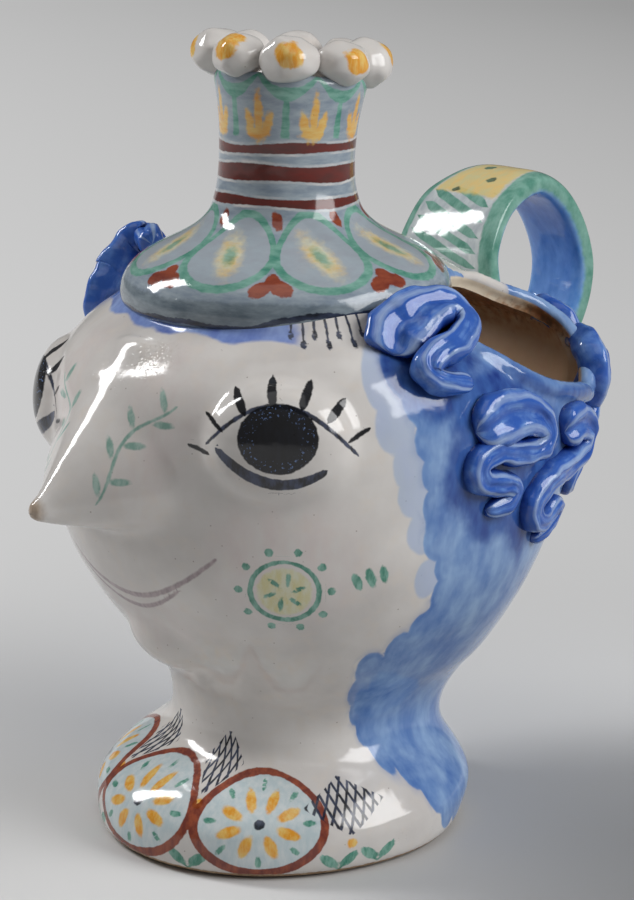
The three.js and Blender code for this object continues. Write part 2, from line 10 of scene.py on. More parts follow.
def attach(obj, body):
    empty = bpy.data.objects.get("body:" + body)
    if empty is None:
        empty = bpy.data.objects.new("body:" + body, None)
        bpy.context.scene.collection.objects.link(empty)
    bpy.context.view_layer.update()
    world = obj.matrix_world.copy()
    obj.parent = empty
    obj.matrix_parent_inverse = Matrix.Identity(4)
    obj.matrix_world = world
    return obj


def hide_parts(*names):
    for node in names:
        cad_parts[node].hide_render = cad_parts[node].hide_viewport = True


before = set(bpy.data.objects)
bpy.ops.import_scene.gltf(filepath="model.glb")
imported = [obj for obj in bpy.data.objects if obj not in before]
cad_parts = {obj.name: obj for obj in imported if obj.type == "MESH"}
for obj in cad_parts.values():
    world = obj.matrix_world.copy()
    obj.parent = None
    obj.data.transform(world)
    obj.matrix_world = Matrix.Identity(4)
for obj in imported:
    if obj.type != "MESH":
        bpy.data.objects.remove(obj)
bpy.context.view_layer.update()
mm = 0.001  # sizes are written in millimetres
noise.seed_set(5)  # so that the hands' unevenness comes out the same every time
print("frame loaded with", len(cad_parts), "nodes")


# Forms: the thrown body

body = {
    # height, then reach towards the face, to an ear and to the handle
    "sections": [
        (0, 91, 82, 76), (8, 91, 83, 80), (18, 90.5, 84, 85), (26, 85, 79, 82), (33, 76, 73, 78),
        (39, 62, 66, 75), (45, 53, 60, 77), (54, 50, 57, 83), (66, 50, 61, 90), (80, 59, 73, 97),
        (97, 72, 86, 104), (115, 85, 97, 110), (134, 95.5, 104, 118), (157, 102, 107, 128),
        (182, 103, 108, 141), (203, 102, 107, 144), (218, 97, 103, 139), (230, 85, 96, 124),
        (240, 70.5, 82, 101), (258, 60, 63, 68),
    ],
    "wall": 7,
    "slab": 8,  # thickness of the base
    "footRounding": 4,
    "collarTop": 45,
    "neckTop": 80,
    "backSquareness": 2.4,
    "dip": 10,  # the crown is pressed down beside each planting mouth
    "dipAngle": 122,
    "dipSpread": 27,
    "dipFrom": 165,
    "dipFull": 212,
    "crownFrom": 196,  # the planting mouths' edges lie above this height
    "hatSeat": (54, 232, 40),  # radius of the opening under the hat, from here, and how tall
    "throwing": (0.35, 28),  # how far the hands leave it uneven, and over what length
    "sides": 168,
    "rings": 110,
    "voxel": 1.82,
    "sharpFrom": 52,  # degrees of an edge that keeps its crease
}


def smoothStep(value, low, high):
    t = min(max((value - low) / (high - low), 0), 1)
    return t * t * (3 - 2 * t)


def faired(column):  # a curve through one column of the sections that never overshoots
    x = [s[0] for s in body["sections"]]
    y = [s[column] for s in body["sections"]]
    rise = [(y[i + 1] - y[i]) / (x[i + 1] - x[i]) for i in range(len(x) - 1)]
    slope = [rise[0]]
    for a, b in zip(rise, rise[1:]):
        slope.append(0 if a * b <= 0 else 2 * a * b / (a + b))
    slope.append(rise[-1])

    def at(height):
        h = min(max(height, x[0]), x[-1])
        i = max(k for k in range(len(x) - 1) if k == 0 or h > x[k])
        span = x[i + 1] - x[i]
        t = (h - x[i]) / span
        return (
            y[i] * (1 + 2 * t) * (1 - t) ** 2 + slope[i] * span * t * (1 - t) ** 2
            + y[i + 1] * t * t * (3 - 2 * t) + slope[i + 1] * span * t * t * (t - 1)
        )

    return at


reachFront, reachSide, reachBack = faired(1), faired(2), faired(3)


def bodyRadius(angle, height):  # angle is from the face, in radians
    fromFace = math.acos(math.cos(angle))
    offset = (fromFace - math.radians(body["dipAngle"])) / math.radians(body["dipSpread"])
    pressed = body["dip"] * math.exp(-offset * offset)
    level = height + pressed * smoothStep(height, body["dipFrom"], body["dipFull"])
    backwards = -math.cos(angle)
    power = 2
    along = -backwards / reachFront(level)
    if backwards > 0:
        aboveNeck = smoothStep(level, body["collarTop"], body["neckTop"])
        power += (body["backSquareness"] - 2) * aboveNeck
        along = backwards / reachBack(level)
    across = abs(math.sin(angle)) / reachSide(level)
    return (across ** power + along ** power) ** (-1 / power)


def around(angle, radius, height):
    return Vector((radius * math.sin(angle), -radius * math.cos(angle), height))


def onHead(angle, height, lift=0):  # a place on the head, and the way out of the clay there
    small = 0.01
    place = around(angle, bodyRadius(angle, height), height)
    ahead = around(angle + small, bodyRadius(angle + small, height), height)
    above = around(angle, bodyRadius(angle, height + small), height + small)
    out = (ahead - place).cross(above - place).normalized()
    return place + out * lift, out


def crownOver(x, y):  # height of the head's top over a point in plan
    angle = math.atan2(x, -y)
    low, high = body["crownFrom"], body["sections"][-1][0]
    for _ in range(24):
        middle = (low + high) / 2
        if bodyRadius(angle, middle) > math.hypot(x, y):
            low = middle
        else:
            high = middle
    return low


def uneven(place, amount, grain):  # a handmade surface: moves a place by a slow noise
    drift = noise.noise_vector(Vector(place) / grain)
    return Vector(place) + drift * amount


# Modelling

def deselectAll():
    if bpy.context.object and bpy.context.object.mode != "OBJECT":
        bpy.ops.object.mode_set(mode="OBJECT")
    bpy.ops.object.select_all(action="DESELECT")


def select(*pieces):
    deselectAll()
    for piece in pieces:
        piece.select_set(True)
    bpy.context.view_layer.objects.active = pieces[0]


def recalculated(piece):  # all faces point outwards
    select(piece)
    bpy.ops.object.mode_set(mode="EDIT")
    bpy.ops.mesh.select_all(action="SELECT")
    bpy.ops.mesh.remove_doubles(threshold=0.02 * mm)
    bpy.ops.mesh.normals_make_consistent(inside=False)
    bpy.ops.object.mode_set(mode="OBJECT")
    bpy.ops.object.shade_smooth()
    return piece


def placed(piece, shares, placeAt):  # moves each point to its place, and keeps the shares it has
    chart = piece.data.attributes.new("chart", "FLOAT_VECTOR", "POINT")
    for vertex, (turn, along) in zip(piece.data.vertices, shares):
        vertex.co = placeAt(turn, along) * mm
        chart.data[vertex.index].vector = (turn, along, 0)
    return recalculated(piece)


def formedCylinder(name, sides, rings, placeAt):
    # placeAt gives a place in mm for the share of a turn and the share of the length
    deselectAll()
    bpy.ops.mesh.primitive_cylinder_add(vertices=sides, radius=1, depth=1, location=(0, 0, 0))
    piece = bpy.context.object
    piece.name = name
    bpy.ops.object.mode_set(mode="EDIT")
    bpy.ops.mesh.select_all(action="DESELECT")
    bpy.ops.mesh.select_mode(type="EDGE")
    bpy.ops.object.mode_set(mode="OBJECT")
    for edge in piece.data.edges:
        low, high = (piece.data.vertices[i].co for i in edge.vertices)
        edge.select = abs(high.z - low.z) > 0.5
    bpy.ops.object.mode_set(mode="EDIT")
    bpy.ops.mesh.subdivide(number_cuts=rings - 1)
    bpy.ops.object.mode_set(mode="OBJECT")
    shares = [
        ((math.atan2(v.co.y, v.co.x) / (2 * math.pi)) % 1, v.co.z + 0.5) for v in piece.data.vertices
    ]
    return placed(piece, shares, placeAt)


def formedRing(name, sides, section, placeAt):
    # a closed ring of clay: placeAt has the share of the way round, and round its section
    deselectAll()
    bpy.ops.mesh.primitive_torus_add(
        major_segments=sides, minor_segments=section, major_radius=1, minor_radius=0.25,
        location=(0, 0, 0),
    )
    piece = bpy.context.object
    piece.name = name
    shares = []
    for vertex in piece.data.vertices:
        x, y, z = vertex.co
        inTurn = math.atan2(z, math.hypot(x, y) - 1) / (2 * math.pi)
        shares.append(((math.atan2(y, x) / (2 * math.pi)) % 1, inTurn % 1))
    return placed(piece, shares, placeAt)


def joined(name, *pieces):
    select(*pieces)
    bpy.ops.object.join()
    pieces[0].name = name


def applied(piece, kind, **settings):
    select(piece)
    modifier = piece.modifiers.new(kind.lower(), kind)
    for key, value in settings.items():
        setattr(modifier, key, value)
    bpy.ops.object.modifier_apply(modifier=modifier.name)


def fused(piece, smoothing):  # luted clay: one skin over all that overlaps
    applied(piece, "REMESH", mode="VOXEL", voxel_size=body["voxel"] * mm, use_smooth_shade=True)
    applied(piece, "SMOOTH", factor=0.5, iterations=smoothing)


def cut(piece, tool):
    applied(piece, "BOOLEAN", operation="DIFFERENCE", object=tool, solver="MANIFOLD")
    bpy.data.objects.remove(tool)


def throughPoints(points, share):  # a smooth curve through rows of numbers
    spans = len(points) - 1
    i = min(int(share * spans), spans - 1)
    t = share * spans - i
    p0 = points[max(i - 1, 0)]
    p1, p2 = points[i], points[i + 1]
    p3 = points[min(i + 2, spans)]
    return [
        0.5 * (2 * b + (c - a) * t + (2 * a - 5 * b + 4 * c - d) * t * t
               + (3 * b - a - 3 * c + d) * t ** 3)
        for a, b, c, d in zip(p0, p1, p2, p3)
    ]


# The head, its neck and foot, with the nose, the eyes and the chin pressed on

nose = {
    "height": 168,
    # out from the face, then top and bottom from the height, and half the width
    "sections": [(-20, 70, -20, 46), (-1, 44, -13, 37), (17, 22, -9, 18), (27, 10.5, -6.5, 8),
                 (33.2, 5.2, -4.8, 4.9)],
    "tip": 4.2,
    "tipFrom": 0.86,  # share of its length at which the round tip begins
    "ridge": 0.42,  # how much narrower the ridge is than the underside
    "segments": (56, 48),
}
eyes = {
    "left": (49, 201),  # degrees from the face, and height
    "right": (-48, 195),
    "rightGaze": 42.5,  # degrees: the right iris is painted nearer the nose than its ball
    "halfSize": (31, 26, 15),
    "sunk": 5,
}
chin = {"place": (0, 95), "halfSize": (24, 18, 12), "sunk": 5}
mouth = {
    "sideways": 65,
    "backwards": 77,
    "halfWidth": 28,
    "halfLength": 48.5,
    "turn": math.radians(18),
    "cut": (186, 80),  # from this height, and how far up
    "lipRadius": 4.6,
    "lipSegments": (120, 16),
    "innerThinning": 0.3,  # how much thinner the lip is towards the middle of the head
    "clearOfHat": (70, 92),  # the lip thins out and sinks where it runs in under the brim
    "sinking": 3,
}


def bodyPlace(turn, rise):
    angle = turn * 2 * math.pi + math.pi / 2
    height = rise * body["sections"][-1][0]
    radius = bodyRadius(angle, height)
    if height > body["footRounding"]:
        return uneven(around(angle, radius, height), *body["throwing"])
    tuck = 1 - math.sqrt(1 - (1 - height / body["footRounding"]) ** 2)
    return around(angle, radius - tuck * body["footRounding"], height)


def hollowPlace(turn, rise):
    angle = turn * 2 * math.pi + math.pi / 2
    wall, slab = body["wall"], body["slab"]
    height = slab + rise * (body["sections"][-1][0] - wall - slab)
    radius = min(bodyRadius(angle, height) - wall, bodyRadius(angle, height + wall))
    return around(angle, radius, height)


def nosePlace(turn, rise):
    angle = turn * 2 * math.pi + math.pi
    tipFrom = nose["tipFrom"]
    out, top, bottom, half = throughPoints(nose["sections"], min(rise / tipFrom, 1))
    bend = max(rise - tipFrom, 0) / (1 - tipFrom) * math.pi / 2
    closing = math.cos(bend)
    out += nose["tip"] * math.sin(bend)
    up = (top + bottom) / 2 + (top - bottom) / 2 * closing * math.cos(angle)
    side = half * closing * math.sin(angle) * (1 - nose["ridge"] * math.cos(angle))
    return Vector((-side, -reachFront(nose["height"]) - out, nose["height"] + up))


def pressedLump(angle, height, halfSize, sunk):
    place, out = onHead(math.radians(angle), height, -sunk)
    upwards = (Vector((0, 0, 1)) - out * out.z).normalized()
    turned = Matrix((upwards.cross(out), upwards, out)).transposed().to_4x4()
    deselectAll()
    bpy.ops.mesh.primitive_uv_sphere_add(segments=64, ring_count=40, radius=mm)
    lump = bpy.context.object
    scaled = Matrix.Diagonal((*halfSize, 1))
    lump.data.transform(Matrix.Translation(place * mm) @ turned @ scaled)
    return recalculated(lump)


def mouthEdge(share, sign, grow=0):
    angle = share * 2 * math.pi
    x = (mouth["halfWidth"] + grow) * math.cos(angle)
    y = (mouth["halfLength"] + grow) * math.sin(angle)
    c, s = math.cos(mouth["turn"]), math.sin(mouth["turn"])
    return Vector((sign * (mouth["sideways"] + x * c - y * s), mouth["backwards"] + x * s + y * c))


def mouthCutter(sign):
    low, tall = mouth["cut"]
    return formedCylinder("mouthCutter", 96, 1, lambda turn, rise: Vector(
        (*mouthEdge(turn, sign), low + rise * tall)))


def lipPlace(sign):
    def place(turn, inTurn):
        edge, outer = mouthEdge(turn, sign), mouthEdge(turn, sign, 1)
        clearOfHat = smoothStep(edge.length, *mouth["clearOfHat"])
        innerSide = 0.5 - 0.5 * math.cos(turn * 2 * math.pi)
        radius = mouth["lipRadius"] * (1 - mouth["innerThinning"] * innerSide)
        radius *= 0.5 + 0.5 * clearOfHat
        a = inTurn * 2 * math.pi
        spot = edge + (outer - edge).normalized() * radius * math.cos(a)
        sunk = mouth["sinking"] * (1 - clearOfHat)
        return Vector((*spot, crownOver(edge.x, edge.y) + radius * math.sin(a) - sunk))

    return place


def hatSeatPlace(turn, rise):  # the head is open under the hat
    radius, low, tall = body["hatSeat"]
    return around(turn * 2 * math.pi, radius, low + tall * rise)


def makeHead():
    clay = formedCylinder("head_clay", body["sides"], body["rings"], bodyPlace)
    noseCone = formedCylinder("noseCone", *nose["segments"], nosePlace)
    lumps = [pressedLump(*eyes[side], eyes["halfSize"], eyes["sunk"])
             for side in ("left", "right")]
    lumps.append(pressedLump(*chin["place"], chin["halfSize"], chin["sunk"]))
    joined("head_clay", clay, noseCone, *lumps)
    fused(clay, 24)
    for sign in (1, -1):
        cut(clay, mouthCutter(sign))
    lips = [formedRing("lip", *mouth["lipSegments"], lipPlace(sign)) for sign in (1, -1)]
    joined("head_clay", clay, *lips)
    fused(clay, 4)
    cut(clay, formedCylinder("hollow", 112, 64, hollowPlace))
    cut(clay, formedCylinder("hatSeat", 64, 1, hatSeatPlace))
    select(clay)
    bpy.ops.object.shade_smooth_by_angle(angle=math.radians(body["sharpFrom"]))
    return clay


head = makeHead()
print("head modelled:", len(head.data.polygons), "faces")


# The hat, with the bottle neck thrown on it

hat = {
    # radius and height along the clay, up the outside and down the inside
    "profile": [
        (69.5, 239.4), (71.8, 240.6), (73, 243.4), (73, 247.5), (71.6, 252), (68.6, 256.6),
        (64, 260.6), (58.6, 263.8), (52.4, 266.8), (46.6, 269.8), (41, 273.2), (36.6, 277),
        (33.4, 281.4), (31.5, 287), (30.3, 293), (29.8, 299), (29.7, 306), (30, 313), (30.6, 320),
        (31.5, 326), (32.6, 332), (33.4, 336.4), (32.6, 339.4), (30.2, 340.2), (28.2, 338.4),
        (27, 333), (25.7, 326), (24.2, 316), (23.8, 304), (24.2, 294), (25.6, 287),
        (28.4, 281), (33.6, 275.6), (41.4, 270), (51, 265), (58.4, 260.8), (63, 256.4),
        (65.6, 250), (66, 244), (66.6, 240.6),
    ],
    "tube": (287, 338),  # heights from which it leans back, and at which it does so fully
    "lean": 3,
    "rimTilt": math.radians(5),
    "segments": (288, 200),
    "uneven": (0.3, 24),
}


def leaned(place):  # the tube leans back, and its rim tips down to the back
    low, high = hat["tube"]
    share = max(0, (place.z - low) / (high - low)) ** 1.5
    drop = place.y * math.tan(hat["rimTilt"]) * share
    return Vector((place.x, place.y + hat["lean"] * share, place.z - drop))


def hatPlace(turn, inTurn):
    profile = hat["profile"]
    closed = [profile[-1], *profile, profile[0], profile[1]]
    share = (1 + inTurn * len(profile)) / (len(closed) - 1)
    radius, height = throughPoints(closed, share)
    return uneven(leaned(around(turn * 2 * math.pi, radius, height)), *hat["uneven"])


hatClay = formedRing("hat_and_bottle_neck", *hat["segments"], hatPlace)
print("hat modelled:", len(hatClay.data.polygons), "faces")


# Eight balls of clay pressed on the bottle neck's rim

beads = {
    "halfSize": (12, 12, 9.9),
    "ring": 31.1,  # from the tube's middle to a bead's middle
    "height": 346,
    "start": math.radians(3),  # from the face to the first bead
    "uneven": (1.5, 9),
    "sizes": (0.96, 1.03, 0.98, 1.05, 0.95, 1.02, 0.97, 1.04),  # no two balls are alike
}


def makeBeads():
    deselectAll()
    bpy.ops.mesh.primitive_ico_sphere_add(subdivisions=5, radius=mm, location=(0, 0, 0))
    first = bpy.context.object
    bpy.ops.transform.resize(value=beads["halfSize"])
    bpy.ops.object.transform_apply(location=False)
    made = []
    for i, size in enumerate(beads["sizes"]):
        deselectAll()
        ball = first.copy()
        ball.data = first.data.copy()
        bpy.context.collection.objects.link(ball)
        ball.name = f"bead_{i + 1}"
        angle = beads["start"] + i / len(beads["sizes"]) * 2 * math.pi
        seat = leaned(around(angle, beads["ring"], beads["height"]))
        for vertex in ball.data.vertices:
            vertex.co = uneven(seat + vertex.co / mm * size, *beads["uneven"]) * mm
        select(ball)
        bpy.ops.object.shade_smooth()
        made.append(ball)
    bpy.data.objects.remove(first)
    return made


beadPieces = makeBeads()
print("beads modelled:", len(beadPieces))


# The strap handle, pulled and luted on the back of the head

handle = {
    # back from the middle, height, width and thickness, from the front root to the back root
    "sections": [
        (98, 237, 66, 11), (98, 254, 62, 11), (111, 272, 55, 11.5), (137, 279.5, 44, 12),
        (160, 265, 38, 13), (173, 236, 36, 13), (165, 208, 36, 13), (140, 186, 38, 13),
    ],
    "segments": (72, 150),
    "squareness": 0.56,  # of its section: 1 is an oval, and less is squarer
    "hollowed": 0.12,  # how much thinner it is along the middle of its inner face
    "uneven": (0.4, 17),
}


def squared(share, power):  # a cosine or sine drawn out towards the corners of the section
    return math.copysign(abs(share) ** power, share)


def handlePlace(turn, rise):
    sections = handle["sections"]
    back, height, width, thickness = throughPoints(sections, rise)
    ahead = throughPoints(sections, min(rise + 0.005, 1))
    behind = throughPoints(sections, max(rise - 0.005, 0))
    along = Vector((0, ahead[0] - behind[0], ahead[1] - behind[1])).normalized()
    a = turn * 2 * math.pi
    side = squared(math.cos(a), handle["squareness"]) * width / 2
    up = squared(math.sin(a), handle["squareness"]) * thickness / 2
    if up < 0:
        up *= 1 - handle["hollowed"] * math.cos(side / width * math.pi)
    place = Vector((side, back, height)) + Vector((1, 0, 0)).cross(along) * up
    return uneven(place, *handle["uneven"])


handleClay = formedCylinder("handle", *handle["segments"], handlePlace)
print("handle modelled:", len(handleClay.data.polygons), "faces")


# The curls: coils of clay laid on the head as hair

curls = {
    # degrees from the face, height, half width and half thickness, and how far it stands up
    "temple": [
        (78.5, 232.5, 10, 4, 0.5), (82, 236.5, 14, 5, 5), (90.5, 239.8, 11.5, 6.5, 10.3),
        (99.5, 237.4, 8, 7.5, 13.2), (100.4, 230.4, 6.5, 7, 12.3), (93.7, 227.9, 6.5, 7, 9.8),
        (87, 228, 6.5, 7, 7.8), (83.7, 225, 6, 6.5, 5.8), (87.5, 220.3, 5.5, 6, 3.9),
        (97.7, 216.9, 4, 4.5, 2),
    ],
    "side": [
        (97, 198, 9, 5, 1), (103, 201.5, 12, 7, 1.5), (111.5, 201, 10.5, 8, 1.5),
        (118, 194, 7, 8, 1), (116.5, 186, 6.5, 8, 0), (109.5, 185.5, 6, 7, 0),
        (102.5, 189, 6, 7, 0), (97, 185, 6, 7, 0), (98, 177.5, 6, 7, 0), (104, 174.5, 6, 7, 0),
        (108.5, 170, 5.5, 6, 0), (106, 164, 5, 5, 0), (100.5, 163.5, 4, 4, 0),
    ],
    "back": [
        (127, 186, 9.5, 6, 1), (132, 189, 9.5, 7, 1), (136.5, 184, 7.5, 8, 1), (136, 176, 7, 8, 0.5),
        (130, 171.5, 6.5, 7, 0), (122, 169, 6, 7, 0), (116.5, 161, 6, 7, 0),
        (117.5, 152.5, 5.5, 7, 0), (122.5, 151, 5.5, 6, 0), (126, 155, 5, 6, 0),
        (128.5, 150, 5, 5, 0), (125, 144.5, 4, 5, 0), (120.5, 140.5, 4, 4, 0),
    ],
    "rear": [
        (161, 213, 4.5, 5, 0), (156.5, 213, 6, 7, 1), (151, 209.5, 7, 8, 3), (149, 202.5, 7, 8, 3),
        (149.5, 195, 6.5, 8, 1), (152, 187.5, 6.5, 7.5, 0), (151, 179.5, 6, 7, 0),
        (147, 172, 5.5, 6, 0), (143, 164.5, 5, 5.5, 0), (142, 156.5, 4.5, 5, 0),
        (145, 150.5, 4, 4.5, 0),
    ],
    "crown": [
        (160, 211, 4.5, 5, 0), (163, 218.5, 6, 7, 0), (167, 222.5, 6.5, 7, 0),
        (170.5, 220, 6, 6.5, 0), (171.5, 213, 5, 5.5, 0), (169.5, 207, 4.5, 4.5, 0),
    ],
}
locks = {(side, name): points for side in ("left", "right") for name, points in curls.items()}
locks["right", "temple"] = [  # it stands taller than the left one
    (82, 245, 6, 6, 13), (86, 238, 6.5, 6, 23), (84, 233, 7.5, 5.5, 25), (80.5, 230.5, 9.5, 5, 19),
    (77.5, 227, 10.5, 5, 13.5), (75.5, 221.5, 9, 5, 8.5), (75, 215, 6.5, 5, 4), (77, 210, 4, 4, 1),
]
coil = {
    "seat": 0.12,  # share of its half thickness that the middle stands above the clay
    "around": 56,
    "perPoint": 14,
    "endShare": 0.05,
    "bed": 8,  # the most that its underside is drawn down to meet the head
    "valley": 0.46,  # a wide lobe is pressed hollow between its two edges
    "valleyWidth": 0.42,
    "valleyFrom": (4.6, 8.5),  # half widths at which that starts and is full
    "shoulder": 0.66,  # of its section: 1 is an oval, and less is squarer
    "strokes": 0.045,  # depth of the furrows that the fingers drew along it
    "furrows": 9,
    "uneven": (1, 7),
}


def coilPlace(points, sign):
    def station(share):
        angle, height, halfWidth, halfThickness, standing = throughPoints(points, share)
        lift = halfThickness * coil["seat"] + standing
        place, out = onHead(sign * math.radians(angle), height, lift)
        below = min(max(halfThickness, lift + 1), halfThickness + coil["bed"])
        return place, out, halfWidth, halfThickness, below

    def place(turn, rise):
        middle, out, halfWidth, halfThickness, below = station(rise)
        ahead, behind = station(min(rise + 0.01, 1))[0], station(max(rise - 0.01, 0))[0]
        along = (ahead - behind).normalized()
        across = out.cross(along).normalized()
        out = along.cross(across)
        wide = smoothStep(halfWidth, *coil["valleyFrom"])
        fromEnd = min(1, rise / coil["endShare"], (1 - rise) / coil["endShare"])
        small = math.sqrt(max(0.0001, 1 - (1 - fromEnd) ** 2))  # the fingers round off each end
        a = turn * 2 * math.pi
        c, s = math.cos(a), math.sin(a)
        spot = middle + across * halfWidth * small * c
        if s < 0:
            spot += out * below * small * s
        else:
            valley = 1 - coil["valley"] * wide * math.exp(-(c / coil["valleyWidth"]) ** 2)
            swing = math.cos(coil["furrows"] * a + 2 * math.sin(rise * 9))
            strokes = 1 + coil["strokes"] * s * swing
            spot += out * halfThickness * small * s ** coil["shoulder"] * valley * strokes
        return uneven(spot, *coil["uneven"])

    return place


def makeCurls():
    made = {}
    for (side, name), points in locks.items():
        rings = coil["perPoint"] * (len(points) - 1)
        made[side, name] = formedCylinder(f"{side}_{name}_coil", coil["around"], rings,
                                          coilPlace(points, 1 if side == "left" else -1))
    return made


curlPieces = makeCurls()
print("curls modelled:", len(curlPieces))


# Charts that the paint follows, kept on the clay as attributes in millimetres

noLine, noDab, offChart = -5.0, -20.0, 999  # what a field holds where nothing is painted


def addAttribute(piece, name, *values):  # up to three measures for each point
    filled = [*values, *[np.zeros(len(values[0]))] * (3 - len(values))]
    attribute = piece.data.attributes.new(name, "FLOAT_VECTOR", "POINT")
    attribute.data.foreach_set("vector", np.stack(filled, 1).astype(np.float32).ravel())


def threesOf(points, key):
    numbers = np.empty(len(points) * 3)
    points.foreach_get(key, numbers)
    return numbers.reshape(-1, 3)


def placesOf(piece):
    return threesOf(piece.data.vertices, "co") / mm


def chartOf(piece):  # the share of a turn and of the length that each point was formed at
    return threesOf(piece.data.attributes["chart"].data, "vector").T[:2]


def arc(degrees, radius):
    return np.radians(degrees) * radius


def planeChart(places, origin, sideways, upwards):
    moved = places - np.array(origin)
    return moved @ np.array(sideways), moved @ np.array(upwards)


def chartOnHead(places, angle, height):
    middle, out = onHead(math.radians(angle), height)
    upwards = (Vector((0, 0, 1)) - out * out.z).normalized()
    return planeChart(places, middle, upwards.cross(out), upwards)


def brushLines(chart, lines):
    # The nearest line of a brush: how far to one side or the other of its middle a point lies, and
    # half the line's width there. Each line is its points and half its width where it is widest.
    u, v = chart
    reach = 2.2  # how far past a line's edge the field goes on
    across, half = np.full(len(u), 50.0), np.full(len(u), noLine)
    for points, width in lines:
        points = np.array(points, dtype=float)
        low, high = points.min(0) - width - reach, points.max(0) + width + reach
        near = np.flatnonzero((u > low[0]) & (u < high[0]) & (v > low[1]) & (v < high[1]))
        steps = np.diff(points, axis=0)
        lengths = np.hypot(*steps.T)
        walked = np.concatenate([[0], np.cumsum(lengths)])
        for i, (x, y) in enumerate(points[:-1]):
            alongX, alongY = steps[i] / lengths[i]
            ahead = (u[near] - x) * alongX + (v[near] - y) * alongY
            side = (v[near] - y) * alongX - (u[near] - x) * alongY
            on = np.clip(ahead, 0, lengths[i])
            beyond = np.abs(ahead - on)
            atEnd = ((i == 0) & (ahead < 0)) | ((i == len(steps) - 1) & (ahead > lengths[i]))
            away = np.where(atEnd, np.abs(side), np.hypot(side, beyond))
            swell = 0.5 + 0.5 * np.sin(np.pi * (walked[i] + on) / walked[-1]) ** 0.6
            thick = width * swell - np.where(atEnd, beyond, 0)
            closer = thick - away > half[near] - np.abs(across[near])
            across[near[closer]] = np.copysign(away, side)[closer]
            half[near[closer]] = thick[closer]
    half[np.abs(across) > np.maximum(half, 0) + reach] = noLine
    return across, half


def dabs(chart, ovals):  # how far inside the nearest dab of paint, each x, y, two radii and a turn
    u, v = chart
    depth = np.full(len(u), noDab)
    for x, y, radiusU, radiusV, turn in ovals:
        c, s = math.cos(math.radians(turn)), math.sin(math.radians(turn))
        p, q = (u - x) * c + (v - y) * s, (v - y) * c - (u - x) * s
        inside = (1 - np.hypot(p / radiusU, q / radiusV)) * min(radiusU, radiusV)
        depth = np.maximum(depth, inside)
    return depth


def polar(x, y, radius, degrees):
    a = math.radians(degrees)
    return x + radius * math.cos(a), y + radius * math.sin(a)


def bow(height, slope, bend, low, high):  # points along a shallow curve
    return [(x, height + slope * x + bend * x * x) for x in np.linspace(low, high, 24)]


hairWash = {
    # the edge of the blue wash, as degrees from the face and height
    "edge": [
        (80, 300), (79, 241), (76, 225), (79, 218), (83, 190), (84, 173), (83, 161), (86, 148),
        (90, 138), (88, 125), (84.5, 113), (79, 101), (73, 96), (74, 76), (84.7, 55.8),
        (91.6, 42.4), (98.9, 36.2), (101.4, 29), (103.6, 18.2), (110.9, 12.5), (120.6, 17),
        (150, 13), (190, 15),
    ],
    "dabSpacing": 15,
    "dabRadius": 9,
    "dabShape": (0.85, 1.1),  # of its radius, across and up
    "dabTurn": 12,
    "dabWobble": 3,
    "dabInset": 5,  # how far inside the edge a dab's middle lies
    "loneDabs": [(74.5, 224, 13), (75.5, 207, 12), (79.5, 190, 12), (79.5, 176, 9),
                 (82.5, 160, 10), (85, 138, 9)],
    "loneWidth": 0.72,
    "shadedPoolReach": 10.5,  # how far from a curl the painted shade and the wash that ran together reach
    "shadedPoolAbove": 125,
    "paleRim": 3,  # the planting mouth's rim stays pale this far out
    "radius": 100,  # of the arc that degrees are measured along
    "shadedPoolFrom": -6,  # how far inside the wash that can begin
    # the white crown between the hat and the handle
    "bareCrown": {"above": 214, "beside": 40, "before": 112, "behind": 100, "angle": 100},
}


def washDistance(across, up):  # how far inside the blue wash, with dabs all along its edge
    line = [(arc(a, hairWash["radius"]), h) for a, h in hairWash["edge"]]
    nearest = np.full(len(across), 1e9)
    within = np.zeros(len(across), dtype=bool)
    for (x0, y0), (x1, y1) in zip(line, line[1:]):
        dx, dy = x1 - x0, y1 - y0
        t = np.clip(((across - x0) * dx + (up - y0) * dy) / (dx ** 2 + dy ** 2), 0, 1)
        nearest = np.minimum(nearest, np.hypot(across - x0 - t * dx, up - y0 - t * dy))
        if dy:
            within ^= ((y0 > up) != (y1 > up)) & (x0 + (up - y0) / dy * dx < across)
    edgeDabs, walked = [], 0
    for (x0, y0), (x1, y1) in zip(line[1:], line[2:]):
        length = math.hypot(x1 - x0, y1 - y0)
        while walked < length:
            wobble = noise.noise(Vector((walked, y0, 3))) * hairWash["dabWobble"]
            x, y = (a + (b - a) * walked / length + wobble for a, b in ((x0, x1), (y0, y1)))
            radii = ((hairWash["dabRadius"] + wobble) * share for share in hairWash["dabShape"])
            edgeDabs.append((x + hairWash["dabInset"], y, *radii, hairWash["dabTurn"]))
            walked += hairWash["dabSpacing"]
        walked -= length
    return np.maximum(np.where(within, nearest, -nearest), dabs((across, up), edgeDabs))


eyePaint = {
    "iris": (0, 3.9, 16.5, 14.3, 0),
    # each lid's height, slope and bend, from and to, and half its width
    "lids": [(17.2, -0.03, -0.0203, -30, 32, 0.95), (-14.926, -0.074, 0.0185, -25, 19, 2.5)],
    "lashTurns": (30, 163, 22),  # degrees of the first lash, the end, and from lash to lash
    "lashMiddle": (1, -14),
    "lashRadii": (31.4, 40.8),  # of their roots and tips
    "lashHalves": (1, 2),  # half widths of the lashes at the sides, and in the middle
    "middleLashes": (50, 140),
}


def paintEyes(chart):  # iris, lids and a plain fan of lashes
    lids = [(bow(*curve), half) for *curve, half in eyePaint["lids"]]
    lashes = []
    low, high = eyePaint["middleLashes"]
    for turn in range(*eyePaint["lashTurns"]):
        points = [polar(*eyePaint["lashMiddle"], radius, turn)
                  for radius in np.linspace(*eyePaint["lashRadii"], 3)]
        lashes.append((points, eyePaint["lashHalves"][low < turn < high]))
    return brushLines(chart, lids), dabs(chart, [eyePaint["iris"]]), brushLines(chart, lashes)


